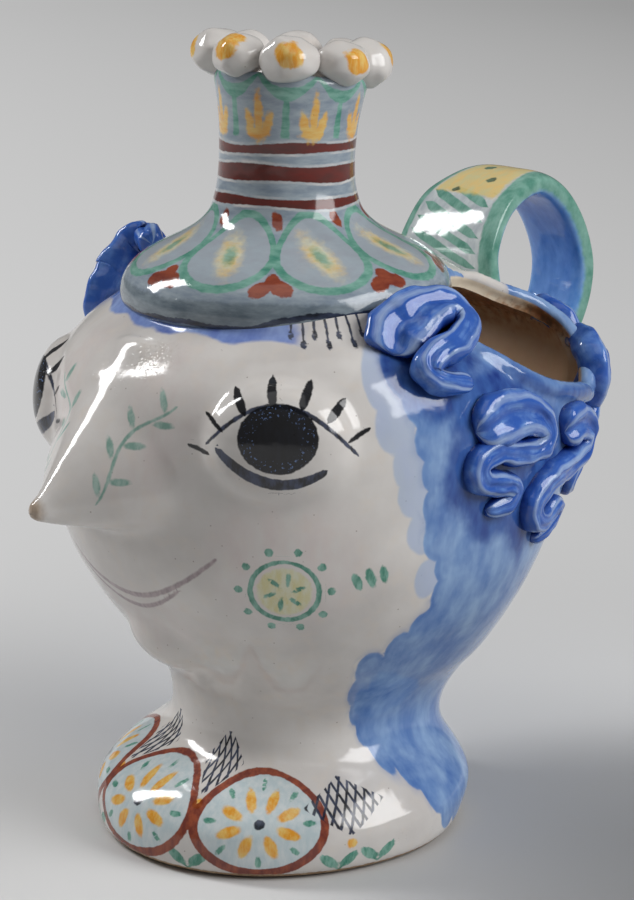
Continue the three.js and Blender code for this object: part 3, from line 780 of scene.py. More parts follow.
fringe = {"from": 52, "to": 75, "spacing": 5.2, "radius": 82, "top": 251, "lengths": (9.5, 12.5),
          "half": 0.62, "drop": (1.275, 1.8)}


def paintFringe(angle, height):  # short strokes that hang from the brim, each with a drop
    chart = arc(angle, fringe["radius"]), height
    ends = (arc(fringe[key], fringe["radius"]) for key in ("from", "to"))
    lines, drops = [], []
    for i, x in enumerate(np.arange(*ends, fringe["spacing"])):
        low = fringe["top"] - fringe["lengths"][i % 2]
        stroke = [(x, fringe["top"]), (x + 0.4, low + 5), (x, low)]
        lines.append((stroke[::-1] if i % 2 else stroke, fringe["half"]))
        drops.append((x, low - 1, *fringe["drop"], 0))
    return brushLines(chart, lines), dabs(chart, drops)


# each lip's height, slope and bend, from and to in degrees, and half its width
smile = {"radius": 93, "lips": [(123.5, 0, 0.0235, -34, 34, 1.3), (117.5, 0, 0.03, -22, 22, 1.1)]}


def paintSmile(angle, height):
    lines = []
    for way, (*curve, half) in zip((1, -1), smile["lips"]):
        # neighbours run opposite ways, so that one side faces the same side
        points = [(arc(a, smile["radius"]), z) for a, z in bow(*curve)][::way]
        lines.append((points, half))
    return brushLines((arc(angle, smile["radius"]), height), lines)


sprig = {"from": 14, "to": 68, "swing": 3.6, "wave": 9, "half": 0.7, "leafEvery": 7.5,
         "leaf": (4.6, 1.5), "leafOut": 4.4, "leafTurn": 48}


def paintSprig(chart):  # a leafy stem that climbs the side of the nose
    def stem(x):
        return sprig["swing"] * math.sin(x / sprig["wave"]) + 1

    leaves = []
    for i in range(int((sprig["to"] - sprig["from"]) / sprig["leafEvery"])):
        x = sprig["from"] + (i + 0.6) * sprig["leafEvery"]
        side = 1 if i % 2 else -1
        leaves.append((x + 2, stem(x) + side * sprig["leafOut"], *sprig["leaf"],
                       side * sprig["leafTurn"]))
    line = [(x, stem(x)) for x in np.linspace(sprig["from"], sprig["to"], 40)]
    return *brushLines(chart, [(line, sprig["half"])]), dabs(chart, leaves)


rosette = {
    "disc": (0, 0, 11.5, 11.5, 0),
    "ring": (14.4, 1.3),  # its radius and half its line
    "dots": (10, 19.5, 1.9),  # how many, how far out, and their radius
    "spokes": (6, 14, 6.2),  # how many, degrees to the first, and how far out
    "spoke": (3.3, 1.1, 10),  # two radii, and degrees that it leans
    "leaves": [(30, 3, 1.9, 4.4, 20), (35.5, 4, 1.9, 5, 14), (41, 4.5, 1.7, 4.2, 8)],
}


def paintCheek(chart):  # a rosette, with three leaves beside it
    ring, half = rosette["ring"]
    circle = [polar(0, 0, ring, a) for a in range(80, 450, 10)]
    marks = [*rosette["leaves"]]
    count, first, out = rosette["spokes"]
    wide, narrow, lean = rosette["spoke"]
    for turn in (i * 360 / count + first for i in range(count)):
        marks.append((*polar(0, 0, out, turn), wide, narrow, turn + lean))
    count, out, radius = rosette["dots"]
    marks += [(*polar(0, 0, out, i * 360 / count), radius, radius, 0) for i in range(count)]
    return brushLines(chart, [(circle, half)]), dabs(chart, marks), dabs(chart, [rosette["disc"]])


footPaint = {
    "radius": 84,
    "heights": (0, 8, 18, 26, 33, 39, 45, 54),
    "walked": (0, 8.06, 18.1, 27.5, 36.7, 45.9, 54.4, 63.9),  # up the clay to those heights
    "discs": [(0, 26.5, 29.4, 22.5), (42, 26.5, 29.4, 22.5)],  # degrees, how far up, two radii
    "heart": (2.6, 2.2),
    "petals": 8,
    # share of the disc's radius, two radii, and the first one's share of the step between them
    "petal": (0.48, 5.4, 2.5, 0.5),
    "sepal": (0.76, 3, 1.3, 1),
    "ring": 2.2,
    "ringFrom": 1.2,  # radians at which the brush closed the ring
    "lattices": [(21, 51, 12, 15), (70, 33, 17, 14)],
    "latticeSlope": (0.8, 0.45),  # of its edges, and of its lines
    "latticeStep": 5,
    "latticeHalf": 0.75,
    "spot": (3.5, 2.4),  # how far under a lattice, and its radius
    "leaves": [(21, 8), (66, 8), (79, 9)],
    "leaf": (4.6, 5.2, 2.4, 38),  # how far out, two radii and a turn
    "vein": 0.7,
}


def paintFoot(angle, height):
    walked = np.interp(height, footPaint["heights"], footPaint["walked"], right=offChart)
    chart = arc(angle, footPaint["radius"]), walked
    rings, veins, fills, yellow, green, ink = [], [], [], [], [], []
    for degrees, up, wide, tall in footPaint["discs"]:
        x = arc(degrees, footPaint["radius"])
        fills.append((x, up, wide, tall, 0))
        ink.append((x, up, *footPaint["heart"], 0))
        start = footPaint["ringFrom"]
        ring = [(x + wide * math.cos(a), up + tall * math.sin(a))
                for a in np.linspace(start, start + 2 * math.pi, 44)]
        rings.append((ring, footPaint["ring"]))
        for kept, name in ((yellow, "petal"), (green, "sepal")):
            out, *radii, first = footPaint[name]
            for i in range(footPaint["petals"]):
                turn = (i + first) * 360 / footPaint["petals"]
                px, py = polar(0, 0, out, turn)
                kept.append((x + px * wide, up + py * tall, *radii, turn))
    lattice = [chart[0] * 0, chart[0] * 0, chart[0] * 0 + noDab]
    edge, slope = footPaint["latticeSlope"]
    below, spot = footPaint["spot"]
    for degrees, up, wide, tall in footPaint["lattices"]:
        x = arc(degrees, footPaint["radius"])
        sideways, upwards = chart[0] - x, chart[1] - up
        inside = tall - np.abs(upwards) - np.abs(sideways) * tall / wide * edge
        crossing = sideways + upwards * slope, sideways - upwards * slope, inside
        lattice = [np.where(inside > lattice[2], new, old) for new, old in zip(crossing, lattice)]
        yellow.append((x, up - tall - below, spot, spot, 0))
    out, *radii, lean = footPaint["leaf"]
    for degrees, up in footPaint["leaves"]:
        x = arc(degrees, footPaint["radius"])
        for side in (1, -1):
            green.append((x + side * out, up, *radii, side * lean))
            vein = [(x, up - 5), (x + side * 8, up + 4)]
            veins.append((vein[::side], footPaint["vein"]))
    return {
        "rust": (brushLines(chart, rings), dabs(chart, [])),
        "green": (brushLines(chart, veins), dabs(chart, green)),
        "lattice": lattice,
        **{name: dabs(chart, ovals)
           for name, ovals in (("ink", ink), ("fills", fills), ("yellow", yellow))},
    }


def together(*paints):  # of several lines and dabs in one colour, the ones that a point is in most
    (across, half), solid = paints[0]
    for (otherAcross, otherHalf), otherSolid in paints[1:]:
        nearer = otherHalf - np.abs(otherAcross) > half - np.abs(across)
        across, half = np.where(nearer, otherAcross, across), np.where(nearer, otherHalf, half)
        solid = np.maximum(solid, otherSolid)
    return across, half, solid


charts = {
    "faceTo": 95,  # degrees
    "cheek": (50, 137),
    "nosePath": ((10, -127, 164), (33, -94, 212)),  # from the tip to the bridge
    "noseOut": (0.78, -0.55, 0.1),
    "noseDepth": 26,
    "noseTo": 40,
    "strip": (54, 237.6, 246),  # the blue under the brim: degrees to each side, and two heights
    "stripSway": (0.9, 4.1),
    "stripTaper": 0.22,
    "blush": [(50, 150, 30, 26), (0, 112, 34, 12), (20, 205, 16, 30)],
    "insideFrom": 2.4,  # depth in from the outside at which the inside's colour begins
    "insideAbove": 7,
    "lowFrom": 205,  # the inside is darker below this height
    "tidemark": 223,
    "wiped": 3.2,  # the foot is bare up to this height
    "bubbles": (17, -85, 228),  # where gas broke through the glaze beside the nose
    "noseTip": (0, -137.5, 168),
}


def distanceToCurls(places, wanted):
    spots = np.concatenate([placesOf(piece)[::3] for piece in curlPieces.values()])
    tree = kdtree.KDTree(len(spots))
    for i, spot in enumerate(spots):
        tree.insert(spot, i)
    tree.balance()
    distance = np.full(len(places), 99.0)
    for i in np.flatnonzero(wanted):
        distance[i] = tree.find(places[i])[2]
    return distance


def shadedPoolsOf(places, x, wash):  # how far inside the dark wash round the curls: painted shade where the curls shade the head, and wash that ran together there
    c, s = math.cos(mouth["turn"]), math.sin(mouth["turn"])
    x, y = x - mouth["sideways"], places[:, 1] - mouth["backwards"]
    fromRim = np.hypot((x * c + y * s) / mouth["halfWidth"],
                       (y * c - x * s) / mouth["halfLength"]) - 1
    near = wash > hairWash["shadedPoolFrom"]
    wanted = near & (places[:, 2] > hairWash["shadedPoolAbove"])
    pool = hairWash["shadedPoolReach"] - distanceToCurls(places, wanted)
    pool = np.minimum(pool, (fromRim * mouth["halfWidth"] - hairWash["paleRim"]) * 2)
    return np.where(near, np.minimum(pool, wash * 2), noDab)


def paintHead(piece):
    places = placesOf(piece)
    mirrored = np.abs(places) * (1, 0, 0) + places * (0, 1, 1)  # both sides are painted alike
    sideways, backwards, height = mirrored.T
    angle = np.degrees(np.arctan2(sideways, -backwards))
    chart = arc(angle, hairWash["radius"]), height
    wash = washDistance(*chart)
    bare = hairWash["bareCrown"]
    onCrown = (height > bare["above"]) & (sideways < bare["beside"]) & (angle > bare["angle"])
    onCrown &= backwards < bare["before"]
    wash = np.where(onCrown, np.minimum(wash, backwards - bare["behind"]), wash)
    loneDabs = [(arc(a, hairWash["radius"]), h, r * hairWash["loneWidth"], r, 0)
                for a, h, r in hairWash["loneDabs"]]
    outside = np.array([bodyRadius(math.radians(a), h) for a, h in zip(angle, height)])
    depth = outside - np.hypot(sideways, backwards) - charts["insideFrom"]
    inside = np.where(height > charts["insideAbove"], depth, -5)
    onFace = (inside < 0) & (angle < charts["faceTo"])
    blush = [(arc(a, hairWash["radius"]), h, p, q, 0) for a, h, p, q in charts["blush"]]

    left = chartOnHead(mirrored, *eyes["left"])
    right = chartOnHead(mirrored, eyes["rightGaze"], eyes["right"][1])
    u, v = (np.where(places[:, 0] > 0, a, b) for a, b in zip(left, right))
    lids, iris, lashes = paintEyes((np.where(onFace, u, offChart), v))
    foot = paintFoot(angle, height)
    fringeLines, drops = paintFringe(angle, height)
    u, v = chartOnHead(mirrored, *charts["cheek"])
    cheekLines, cheekMarks, disc = paintCheek((np.where(onFace, u, offChart), v))

    tip, bridge = (Vector(p) for p in charts["nosePath"])
    along = (bridge - tip).normalized()
    out = Vector(charts["noseOut"])
    out = (out - along * out.dot(along)).normalized()
    u, v = planeChart(mirrored, tip, along, along.cross(out))
    onNose = mirrored @ np.array(out) > np.dot(tip, out) - charts["noseDepth"]
    onNose &= angle < charts["noseTo"]

    reach, low, high = charts["strip"]
    swing, wave = charts["stripSway"]
    strip = np.minimum(height - low + swing * np.sin(angle / wave), high - height)
    strip = np.minimum(strip, (reach - angle) * charts["stripTaper"])
    fields = {
        "wash": (wash, dabs(chart, loneDabs), inside),
        "soft": (dabs(chart, blush), shadedPoolsOf(places, sideways, wash), height),
        "ink": together((lids, np.maximum(drops, foot["ink"])), (fringeLines, drops)),
        "inkDeep": (*lashes, iris),
        "lattice": foot["lattice"],
        "green": together((cheekLines, cheekMarks), foot["green"]),
        "sprig": paintSprig((np.where(onNose, u, offChart), v)),
        "mauve": (*paintSmile(angle, height), strip),
        "rust": together(foot["rust"]),
        "yellow": (disc, foot["yellow"], foot["fills"]),
    }
    for name, values in fields.items():
        addAttribute(piece, name, *values)


paintHead(head)
print("head painted")


hatPaint = {
    "outsideTo": 23.5,  # rows of the profile: the outside ends at the tube's rim
    "underFrom": 34,  # and the brim's underside begins here
    "edge": 8,  # how far up the clay the brim's edge lies
    "petals": 8,
    "petal": (35, 22, 22.7),  # how far up from the brim, and two radii
    "petalFull": 58,  # radius at which a petal has its full width
    "outline": 1.9,
    "outlineStart": math.radians(22.5),  # from the face to the first petal
    "centre": (33, 5.4, 12.5),
    "centreLean": 0.25,
    # beside the middle of a gap, how far up, two radii and a turn
    "blots": [(-4.4, 13.5, 5.6, 3.6, 28), (4.6, 14, 5.4, 3.8, -24), (0.4, 18, 3.4, 4.4, 0),
              (-0.4, 54.5, 2.4, 4.4, 14)],
    "band": 6.5,  # the grey band round the brim
    "brimLine": (-3.6, 1.6, 1.25),  # how far up in front and at the sides, and half its width
    "brimTurn": (36, 58),  # degrees over which it climbs
    "stripes": [(61.5, 1.8), (73.5, 3.3), (84.5, 2.0)],
    "tubeAbove": 60,
    "scallop": (115, 8, 1.3, 1.5),  # height of its cusps, its sag, half its line, and more below
    "stems": (89, 107, 1.6),
    # beside the middle between two balls, how far up, two radii and a turn
    "flames": [(0.2, 97.5, 1.9, 9.5, 0), (-3.7, 94.5, 1.9, 6.2, 14), (3.9, 94.2, 2.0, 5.8, -16),
               (0, 90.8, 5.2, 2.2, 0)],
}


def hatWalk(inTurn):  # how far up the clay from the brim's edge, and the row of the profile
    profile = np.array([*hat["profile"], hat["profile"][0]])
    walked = np.concatenate([[0], np.cumsum(np.hypot(*np.diff(profile, axis=0).T))])
    last = len(profile) - 1
    rows = (inTurn * last) % last
    up = np.interp(rows, range(last), walked[:-1]) - hatPaint["edge"]
    inner = np.where(rows > hatPaint["underFrom"], up - walked[-1], offChart)
    return np.where(rows < hatPaint["outsideTo"], up, inner), rows


def fromMiddles(angle):  # across each petal's share of the way round, from -0.5 to 0.5
    return (angle / (2 * math.pi) * hatPaint["petals"] + 0.5) % 1 - 0.5


def paintHat(piece):
    turn, inTurn = chartOf(piece)
    up, rows = hatWalk(inTurn)
    outside = rows < hatPaint["outsideTo"]
    painted = outside | (rows > hatPaint["underFrom"])
    radius = np.hypot(*placesOf(piece).T[:2])
    angle = turn * 2 * math.pi - hatPaint["outlineStart"]
    beadAngle = turn * 2 * math.pi - beads["start"]
    pitch = 2 * math.pi / hatPaint["petals"]
    # how far beside a petal's middle, a gap's, a ball's, and the middle between two balls
    inPetal, inGap, underBead, betweenBeads = (
        fromMiddles(a) * pitch * radius
        for a in (angle, angle - pitch / 2, beadAngle, beadAngle - pitch / 2))
    narrowing = np.clip(radius / hatPaint["petalFull"], 0.5, 1.3)
    petal = dabs((inPetal / narrowing, up), [(0, *hatPaint["petal"], 0)])
    leaning = inPetal + (up - hatPaint["centre"][0]) * hatPaint["centreLean"]
    centre = dabs((leaning, up), [(0, *hatPaint["centre"], 0)])
    stripes = np.full(len(up), noDab)
    for at, half in hatPaint["stripes"]:
        wave = 0.9 * np.sin(angle + at) + 0.4 * np.sin(3 * angle + at)
        thick = half + 0.35 * np.sin(4 * angle + 2 * at)
        stripes = np.maximum(stripes, thick - np.abs(up - at + wave))

    cusp, sag, half, swell = hatPaint["scallop"]
    lowest = 1 - (fromMiddles(beadAngle) * 2) ** 2
    onTube = up > hatPaint["tubeAbove"]
    outline = np.where(onTube, up - cusp + sag * lowest, petal)
    outlineHalf = np.where(onTube, half + swell * lowest ** 2, hatPaint["outline"])
    low, high, stemHalf = hatPaint["stems"]
    stem = stemHalf * (1.15 - 0.5 * (up - low) / (high - low)) - np.abs(underBead)
    stem = np.minimum(np.minimum(up - low, high - up), stem)

    front, side, lineHalf = hatPaint["brimLine"]
    turned = np.degrees(np.arccos(np.cos(turn * 2 * math.pi)))
    brimAt = np.interp(turned, hatPaint["brimTurn"], (front, side))
    brim = up - brimAt + 0.55 * np.sin(angle * 9) + 0.35 * np.sin(angle * 23 + 1)
    band = np.minimum(hatPaint["band"] - up + 0.7 * np.sin(angle * 5), up + 6)
    fields = {
        "green": (outline, outlineHalf, stem),
        "rust": (stripes, dabs((inGap, up), hatPaint["blots"]), np.where(painted, 5, -5)),
        "ink": (brim, np.where(painted, lineHalf, noLine),
                dabs((betweenBeads, up), hatPaint["flames"])),
        "soft": (petal, centre, np.where(outside, band, -5)),
    }
    for name, values in fields.items():
        addAttribute(piece, name, *values)


paintHat(hatClay)
print("hat painted")


handlePaint = {
    "length": 268,
    "stripes": (0.02, 0.3),  # shares of the handle's length
    "stripeStep": 11,
    "stripeHalf": 3.3,
    "stripeGap": 1.5,  # each stroke ends this short of the bands along the edges
    "stripeTip": 0.6,
    "slant": 0.45,
    "gold": (0.28, 0.72),
    "dotStep": 14,
    "dot": 3.3,
    "dotOut": 6,
    "edgeBand": 6.5,
    "innerFrom": 0.25,  # how far round under the strap its inner face's colour begins
    "innerBlend": 6,
}


def between(share, low, high):  # mm inside this part of the handle's length
    return np.minimum(share - low, high - share) * handlePaint["length"]


def paintHandle(piece):
    turn, rise = chartOf(piece)
    widths = [s[2] for s in handle["sections"]]
    width = np.interp(rise, np.linspace(0, 1, len(widths)), widths)
    across = placesOf(piece)[:, 0]
    along = rise * handlePaint["length"]
    fromBand = width / 2 - np.abs(across) - handlePaint["edgeBand"]
    half = np.minimum(handlePaint["stripeHalf"], between(rise, *handlePaint["stripes"]))
    tip = (fromBand - handlePaint["stripeGap"]) * handlePaint["stripeTip"]
    slanted = along + across * handlePaint["slant"]
    addAttribute(piece, "green", slanted, np.minimum(half, tip), -fromBand)
    gold = np.minimum(between(rise, *handlePaint["gold"]), fromBand - 1)
    step, out = handlePaint["dotStep"], handlePaint["dotOut"]
    beside = across - np.where(along // step % 2 == 0, out, -out)
    dots = np.minimum(handlePaint["dot"] - np.hypot(along % step - step / 2, beside), gold)
    inner = -np.sin(turn * 2 * math.pi) - handlePaint["innerFrom"]
    addAttribute(piece, "soft", gold, dots, inner * handlePaint["innerBlend"])


paintHandle(handleClay)
print("handle painted")


def paintCoils():
    for key, piece in curlPieces.items():
        turn, rise = chartOf(piece)
        spots = [onHead(math.radians(angle), height)[0] for angle, height, *_ in locks[key]]
        length = sum(math.dist(a, b) for a, b in zip(spots, spots[1:]))
        a = turn * 2 * math.pi
        rim = np.exp(-((np.abs(np.cos(a)) - 0.66) / 0.2) ** 2) * np.clip(np.sin(a), 0, 1)
        addAttribute(piece, "coil", rise * length, np.cos(a) * 8, rim)


beadPaint = {"half": 5.2, "squareness": 3.2, "drop": 2.5, "swing": 0.35}  # of a broad brush's dab


def paintBeads():
    power = beadPaint["squareness"]
    for i, ball in enumerate(beadPieces):
        places = placesOf(ball)
        middle = places.mean(axis=0)
        away = np.array([middle[0], middle[1] - hat["lean"], 0])
        away = away / np.linalg.norm(away)
        outwards, across = planeChart(places, middle, away, (-away[1], away[0], 0))
        swing = (i * 37 % 11 - 5) * beadPaint["swing"]
        across, up = across + swing, places[:, 2] - middle[2] - beadPaint["drop"] + swing
        across, up = across + 0.25 * up, up - 0.1 * across
        away = (np.abs(across / 1.1) ** power + np.abs(up) ** power) ** (1 / power)
        addAttribute(ball, "soft", np.where(outwards > 0, beadPaint["half"] - away, -9))


paintCoils()
paintBeads()
print("coils and beads painted")


# Glazes and paint

def linear(hexColour):
    channels = [int(hexColour[i:i + 2], 16) / 255 for i in (1, 3, 5)]
    lit = [c / 12.92 if c <= 0.04045 else ((c + 0.055) / 1.055) ** 2.4 for c in channels]
    return (*lit, 1)


def linked(tree, value, socket):  # a node gives the first of its results that is in use
    if isinstance(value, bpy.types.Node):
        value = next(result for result in value.outputs if result.enabled)
    tree.links.new(value, socket)


def addNode(tree, kind, inputs=(), **settings):  # with its inputs by name, or in their order
    node = tree.nodes.new("ShaderNode" + kind)
    for name, value in settings.items():
        setattr(node, name, value)
    for name, value in inputs.items() if isinstance(inputs, dict) else enumerate(inputs):
        if isinstance(value, (bpy.types.Node, bpy.types.NodeSocket)):
            linked(tree, value, node.inputs[name])
        else:
            node.inputs[name].default_value = value
    return node


def newMaterial(name):
    material = bpy.data.materials.new(name)
    material.use_nodes = True
    tree = material.node_tree
    tree.nodes.clear()
    shader = addNode(tree, "BsdfPrincipled", {"Roughness": 0.1, "IOR": 1.5})
    addNode(tree, "OutputMaterial", {"Surface": shader})
    return material, tree, shader, addNode(tree, "TexCoord").outputs["Object"]


glaze = {
    "white": "#e0dcd8", "whiteDim": "#cdc8c4", "whiteWarm": "#ddd3c8", "speck": "#5e3c1e",
    "inside": "#ddcfb9", "coil": "#3560b6", "coilThin": "#6a92d4", "coilDark": "#15307e",
    "coilPale": "#a9bedd", "coilBare": "#b5a894",
}
paint = {  # where the brush leaves it thin, and where it lies thick
    "bubbles": ("#cdc8c4", "#a79a8c"), "blush": ("#e0dcd8", "#d8c0bf"),
    "paleBlue": ("#d0d9db", "#bccdd2"), "lone": ("#8fb0d9", "#86a9e0"),
    "wash": ("#8fb0d9", "#5b83bf"), "washDeep": ("#5b83bf", "#3b66ae"),
    # the darkest blue round the curls is painted shade, together with wash that ran together there
    "pool": ("#3b66ae", "#15307e"), "strip": ("#86a4e0", "#3f62b8"),
    "mauve": ("#b09ba0", "#7f6a72"), "disc": ("#dcdcc0", "#d6cf94"),
    "yellow": ("#e9c36a", "#e59a16"), "sprig": ("#a5c2b8", "#6fa092"),
    "green": ("#86b5a6", "#3f8672"), "rust": ("#984421", "#722611"),
    "ink": ("#39435e", "#0f121b"), "inkDeep": ("#0f121b", "#080a10"),
    "glint": ("#39435e", "#7f9cd0"), "insideLow": ("#c9a880", "#cfa482"),
    "stain": ("#c9a880", "#a0602c"), "crust": ("#a0602c", "#5e3c1e"),
    "worn": ("#b39b80", "#8a6a4c"), "clay": ("#b39b80", "#8d6f52"),
    "hat": ("#9dabb5", "#758799"), "hatPale": ("#9dabb5", "#e0dcd8"),
    "heart": ("#dcdcc0", "#e9c36a"), "brim": ("#87939a", "#5f6c76"),
    "stripe": ("#6c1f11", "#4e1208"), "outerFace": ("#9dabb5", "#d0d9db"),
    "gold": ("#d6cf94", "#e9c36a"), "dot": ("#3f8672", "#0f121b"),
    "innerFace": ("#8fb8ea", "#609adf"), "innerDeep": ("#609adf", "#5b83bf"),
}


def patchy(tree, coordinates, size, detail, fromRange, toRange=(0, 1)):
    # soft patches of about this size in mm, as a share or a measure
    cloud = addNode(tree, "TexNoise",
                    {"Vector": coordinates, "Scale": 1 / (size * mm), "Detail": detail})
    return addNode(tree, "MapRange", [cloud, *fromRange, *toRange])


def brushwork(tree, coordinates, streakScale, edgeMm=2.6, streakMm=3.2, tones=(0.36, 0.62)):
    # what a loaded brush leaves: a wavering edge, and streaks where the paint lies thick or thin
    edge = patchy(tree, coordinates, edgeMm, 2, (0, 1), (-0.5, 0.5))
    stretched = addNode(tree, "Mapping", {"Vector": coordinates, "Scale": streakScale})
    streaks = addNode(tree, "TexNoise",
                      {"Vector": stretched, "Scale": 1 / (streakMm * mm), "Detail": 3,
                       "Roughness": 0.6})
    return edge, addNode(tree, "MapRange", [streaks, *tones])


def painted(tree, colour, *layers):
    # lays each paint over what is there already, where its field is more than the inset, with the
    # brush, the softness and wobble of its edge, and how well it covers
    for field, name, (edge, streak), soft, wobble, cover, *inset in layers:
        thin, thick = (linear(tone) for tone in paint[name])
        ragged = addNode(tree, "Math", [edge, wobble, field], operation="MULTIPLY_ADD")
        mask = addNode(tree, "MapRange",
                       [ragged, sum(inset) - soft, sum(inset) + soft, 0, cover],
                       interpolation_type="SMOOTHSTEP")
        tone = addNode(tree, "Mix", {0: streak, 6: thin, 7: thick}, data_type="RGBA")
        colour = addNode(tree, "Mix", {0: mask, 6: colour, 7: tone}, data_type="RGBA")
    return colour


def toned(tree, name, *shares):  # a glaze with other tones mixed in, one after another
    colour = linear(glaze[name])
    for share, other in shares:
        colour = addNode(tree, "Mix", {0: share, 6: colour, 7: linear(glaze[other])},
                         data_type="RGBA")
    return colour


def chartField(tree, name):  # the three measures that a painted piece keeps under a name
    stored = addNode(tree, "Attribute", attribute_name=name).outputs["Vector"]
    return addNode(tree, "SeparateXYZ", [stored]).outputs


def lineField(tree, across, half, middle=0):  # how far inside a brush line
    off = addNode(tree, "Math", [across, middle], operation="SUBTRACT")
    away = addNode(tree, "Math", [off], operation="ABSOLUTE")
    return addNode(tree, "Math", [half, away], operation="SUBTRACT")


def nearPoint(tree, coordinates, middle, reach):  # how many mm inside a ball round a point
    away = addNode(tree, "VectorMath", [coordinates, Vector(middle) * mm], operation="DISTANCE")
    return addNode(tree, "Math", [away, -1 / mm, reach], operation="MULTIPLY_ADD")


def tinGlaze(tree, coordinates):
    # The white glaze is thick and soft: it pools dimmer in places, and carries fine dark specks
    specks = addNode(tree, "TexVoronoi", {"Vector": coordinates, "Scale": 1 / (6.5 * mm)})
    speck = addNode(tree, "MapRange", [specks, 0.035, 0.065, 0.5, 0])
    return toned(tree, "white", (patchy(tree, coordinates, 38, 4, (0.35, 0.7)), "whiteDim"),
                 (patchy(tree, coordinates, 9, 5, (0.52, 0.8), (0, 0.55)), "whiteWarm"),
                 (speck, "speck"))


def finishIn(surface, colour, *pieces, gathered=None):
    # The glaze has a slow ripple that bends every reflection, a fine peel, and pinholes where gas
    # broke through it, with more of them where they are gathered.
    material, tree, shader, coordinates = surface
    linked(tree, colour, shader.inputs["Base Color"])
    often = patchy(tree, coordinates, 26, 2, (0.56, 0.72), (0, 0.16))
    if gathered:
        often = addNode(tree, "Math", [often, gathered], operation="ADD")
    pits = addNode(tree, "TexVoronoi", {"Vector": coordinates, "Scale": 1 / (2.2 * mm)})
    depth = addNode(tree, "Math", [pits, often], operation="SUBTRACT")
    bowl = addNode(tree, "MapRange", [depth, -0.12, 0.06])
    normal = {}
    for height, strength, distance in ((patchy(tree, coordinates, 14, 2, (0, 1)), 0.5, 0.6),
                                       (patchy(tree, coordinates, 1.6, 3, (0, 1)), 0.35, 0.05),
                                       (bowl, 0.8, 0.14)):
        bump = addNode(tree, "Bump", {"Height": height, "Strength": strength,
                                                "Distance": distance * mm, **normal})
        normal = {"Normal": bump}
    linked(tree, bump, shader.inputs["Normal"])
    for piece in pieces:
        piece.data.materials.clear()
        piece.data.materials.append(material)


def glazeHead():
    # Tin-glazed earthenware painted in oxides under a clear glaze: glass-smooth and glossy all
    # over, with soft-edged brush strokes that sink into the white.
    surface = newMaterial("paintedTinGlaze")
    _, tree, shader, coordinates = surface
    brush = brushwork(tree, coordinates, (1, 1, 0.35))
    broad = brushwork(tree, coordinates, (1, 1, 0.45), 8, 10, (0.3, 0.7))
    blush, pool, height = chartField(tree, "soft")
    disc, petals, fills = chartField(tree, "yellow")
    wash, lone, inside = chartField(tree, "wash")
    across, half, strip = chartField(tree, "mauve")
    deep = patchy(tree, coordinates, 21, 3, (0.38, 0.66), (-6, 5))
    layers = [
        (nearPoint(tree, coordinates, charts["bubbles"], 6), "bubbles", brush, 9, 22, 0.6),
        (blush, "blush", broad, 14, 4, 0.35),
        (fills, "paleBlue", brush, 0.8, 1.6, 0.9),
        (lone, "lone", broad, 0.7, 1.6, 0.5),
        (wash, "wash", broad, 0.6, 1.8, 0.95),
        (lineField(tree, wash, 1, 1.5), "washDeep", broad, 0.9, 1.6, 0.35),  # its dried edge
        (addNode(tree, "Math", [wash, deep], operation="MINIMUM"), "washDeep", broad, 4, 4, 0.55),
        # painted shade round the curls, together with wash that ran together there
        (pool, "pool", broad, 4.5, 7, 0.92),
        (strip, "strip", broad, 0.7, 1.8, 0.9),
        (lineField(tree, across, half), "mauve", brush, 0.5, 0.8, 0.75),
        (disc, "disc", brush, 0.9, 1.8, 0.85),
        (petals, "yellow", brush, 0.5, 1, 0.96),
    ]
    for name, *edge in (("sprig", 0.4, 0.7, 0.85), ("green", 0.3, 0.9, 0.96),
                        ("rust", 0.3, 0.9, 0.96), ("ink", 0.3, 0.9, 0.96),
                        ("inkDeep", 0.35, 1.2, 0.98)):
        across, half, solid = chartField(tree, name)
        layers += [(field, name, brush, *edge) for field in (solid, lineField(tree, across, half))]
    iris = solid  # the last of these
    glints = patchy(tree, coordinates, 1.1, 2, (0.6, 0.64), (-3, 1))
    glint = addNode(tree, "Math", [glints, lineField(tree, iris, 2.4, 3.2)], operation="MINIMUM")
    one, other, latticed = chartField(tree, "lattice")
    folds = [addNode(tree, "Math", [way, footPaint["latticeStep"] / 2],
                     operation="PINGPONG") for way in (one, other)]
    nearer = addNode(tree, "Math", folds, operation="MINIMUM")
    crossed = addNode(tree, "Math", [footPaint["latticeHalf"], nearer], operation="SUBTRACT")
    lattice = addNode(tree, "Math", [crossed, latticed], operation="MINIMUM")
    layers += [(glint, "glint", brush, 0.4, 0, 0.7), (lattice, "ink", brush, 0.3, 0.7, 0.96)]
    colour = painted(tree, tinGlaze(tree, coordinates), *layers)

    # The inside is only rinsed with glaze: beige, with a brown tidemark left by wet soil
    low = addNode(tree, "Math", [charts["lowFrom"], height], operation="SUBTRACT")
    inner = painted(
        tree, linear(glaze["inside"]), (low, "insideLow", broad, 12, 10, 0.85),
        (lineField(tree, height, 10, charts["tidemark"]), "stain", broad, 6, 26, 0.85),
        (lineField(tree, height, 5, charts["tidemark"]), "crust", brush, 4, 22, 0.7))
    within = addNode(tree, "MapRange", [inside, -0.5, 0.5])
    walled = addNode(tree, "Mix", {0: within, 6: colour, 7: inner}, data_type="RGBA")

    # The foot's edge was wiped clean of glaze before firing, and the nose's tip is worn
    worn = nearPoint(tree, coordinates, charts["noseTip"], 5.5)
    wiped = addNode(tree, "Math", [charts["wiped"], height], operation="SUBTRACT")
    colour = painted(tree, walled, (worn, "worn", brush, 2.5, 2, 0.75),
                     (wiped, "clay", brush, 0.35, 1.2, 1))
    bare = addNode(tree, "MapRange", [wiped, -0.3, 0.3, 0.1, 0.85])
    dull = addNode(tree, "MapRange", [inside, 0, 2, 0.1, 0.55])
    rough = addNode(tree, "Math", [bare, dull], operation="MAXIMUM")
    linked(tree, rough, shader.inputs["Roughness"])
    bubbled = nearPoint(tree, coordinates, charts["bubbles"], 13)
    gathered = addNode(tree, "MapRange", [bubbled, 0, 8, 0, 0.5])
    finishIn(surface, colour, head, gathered=gathered)


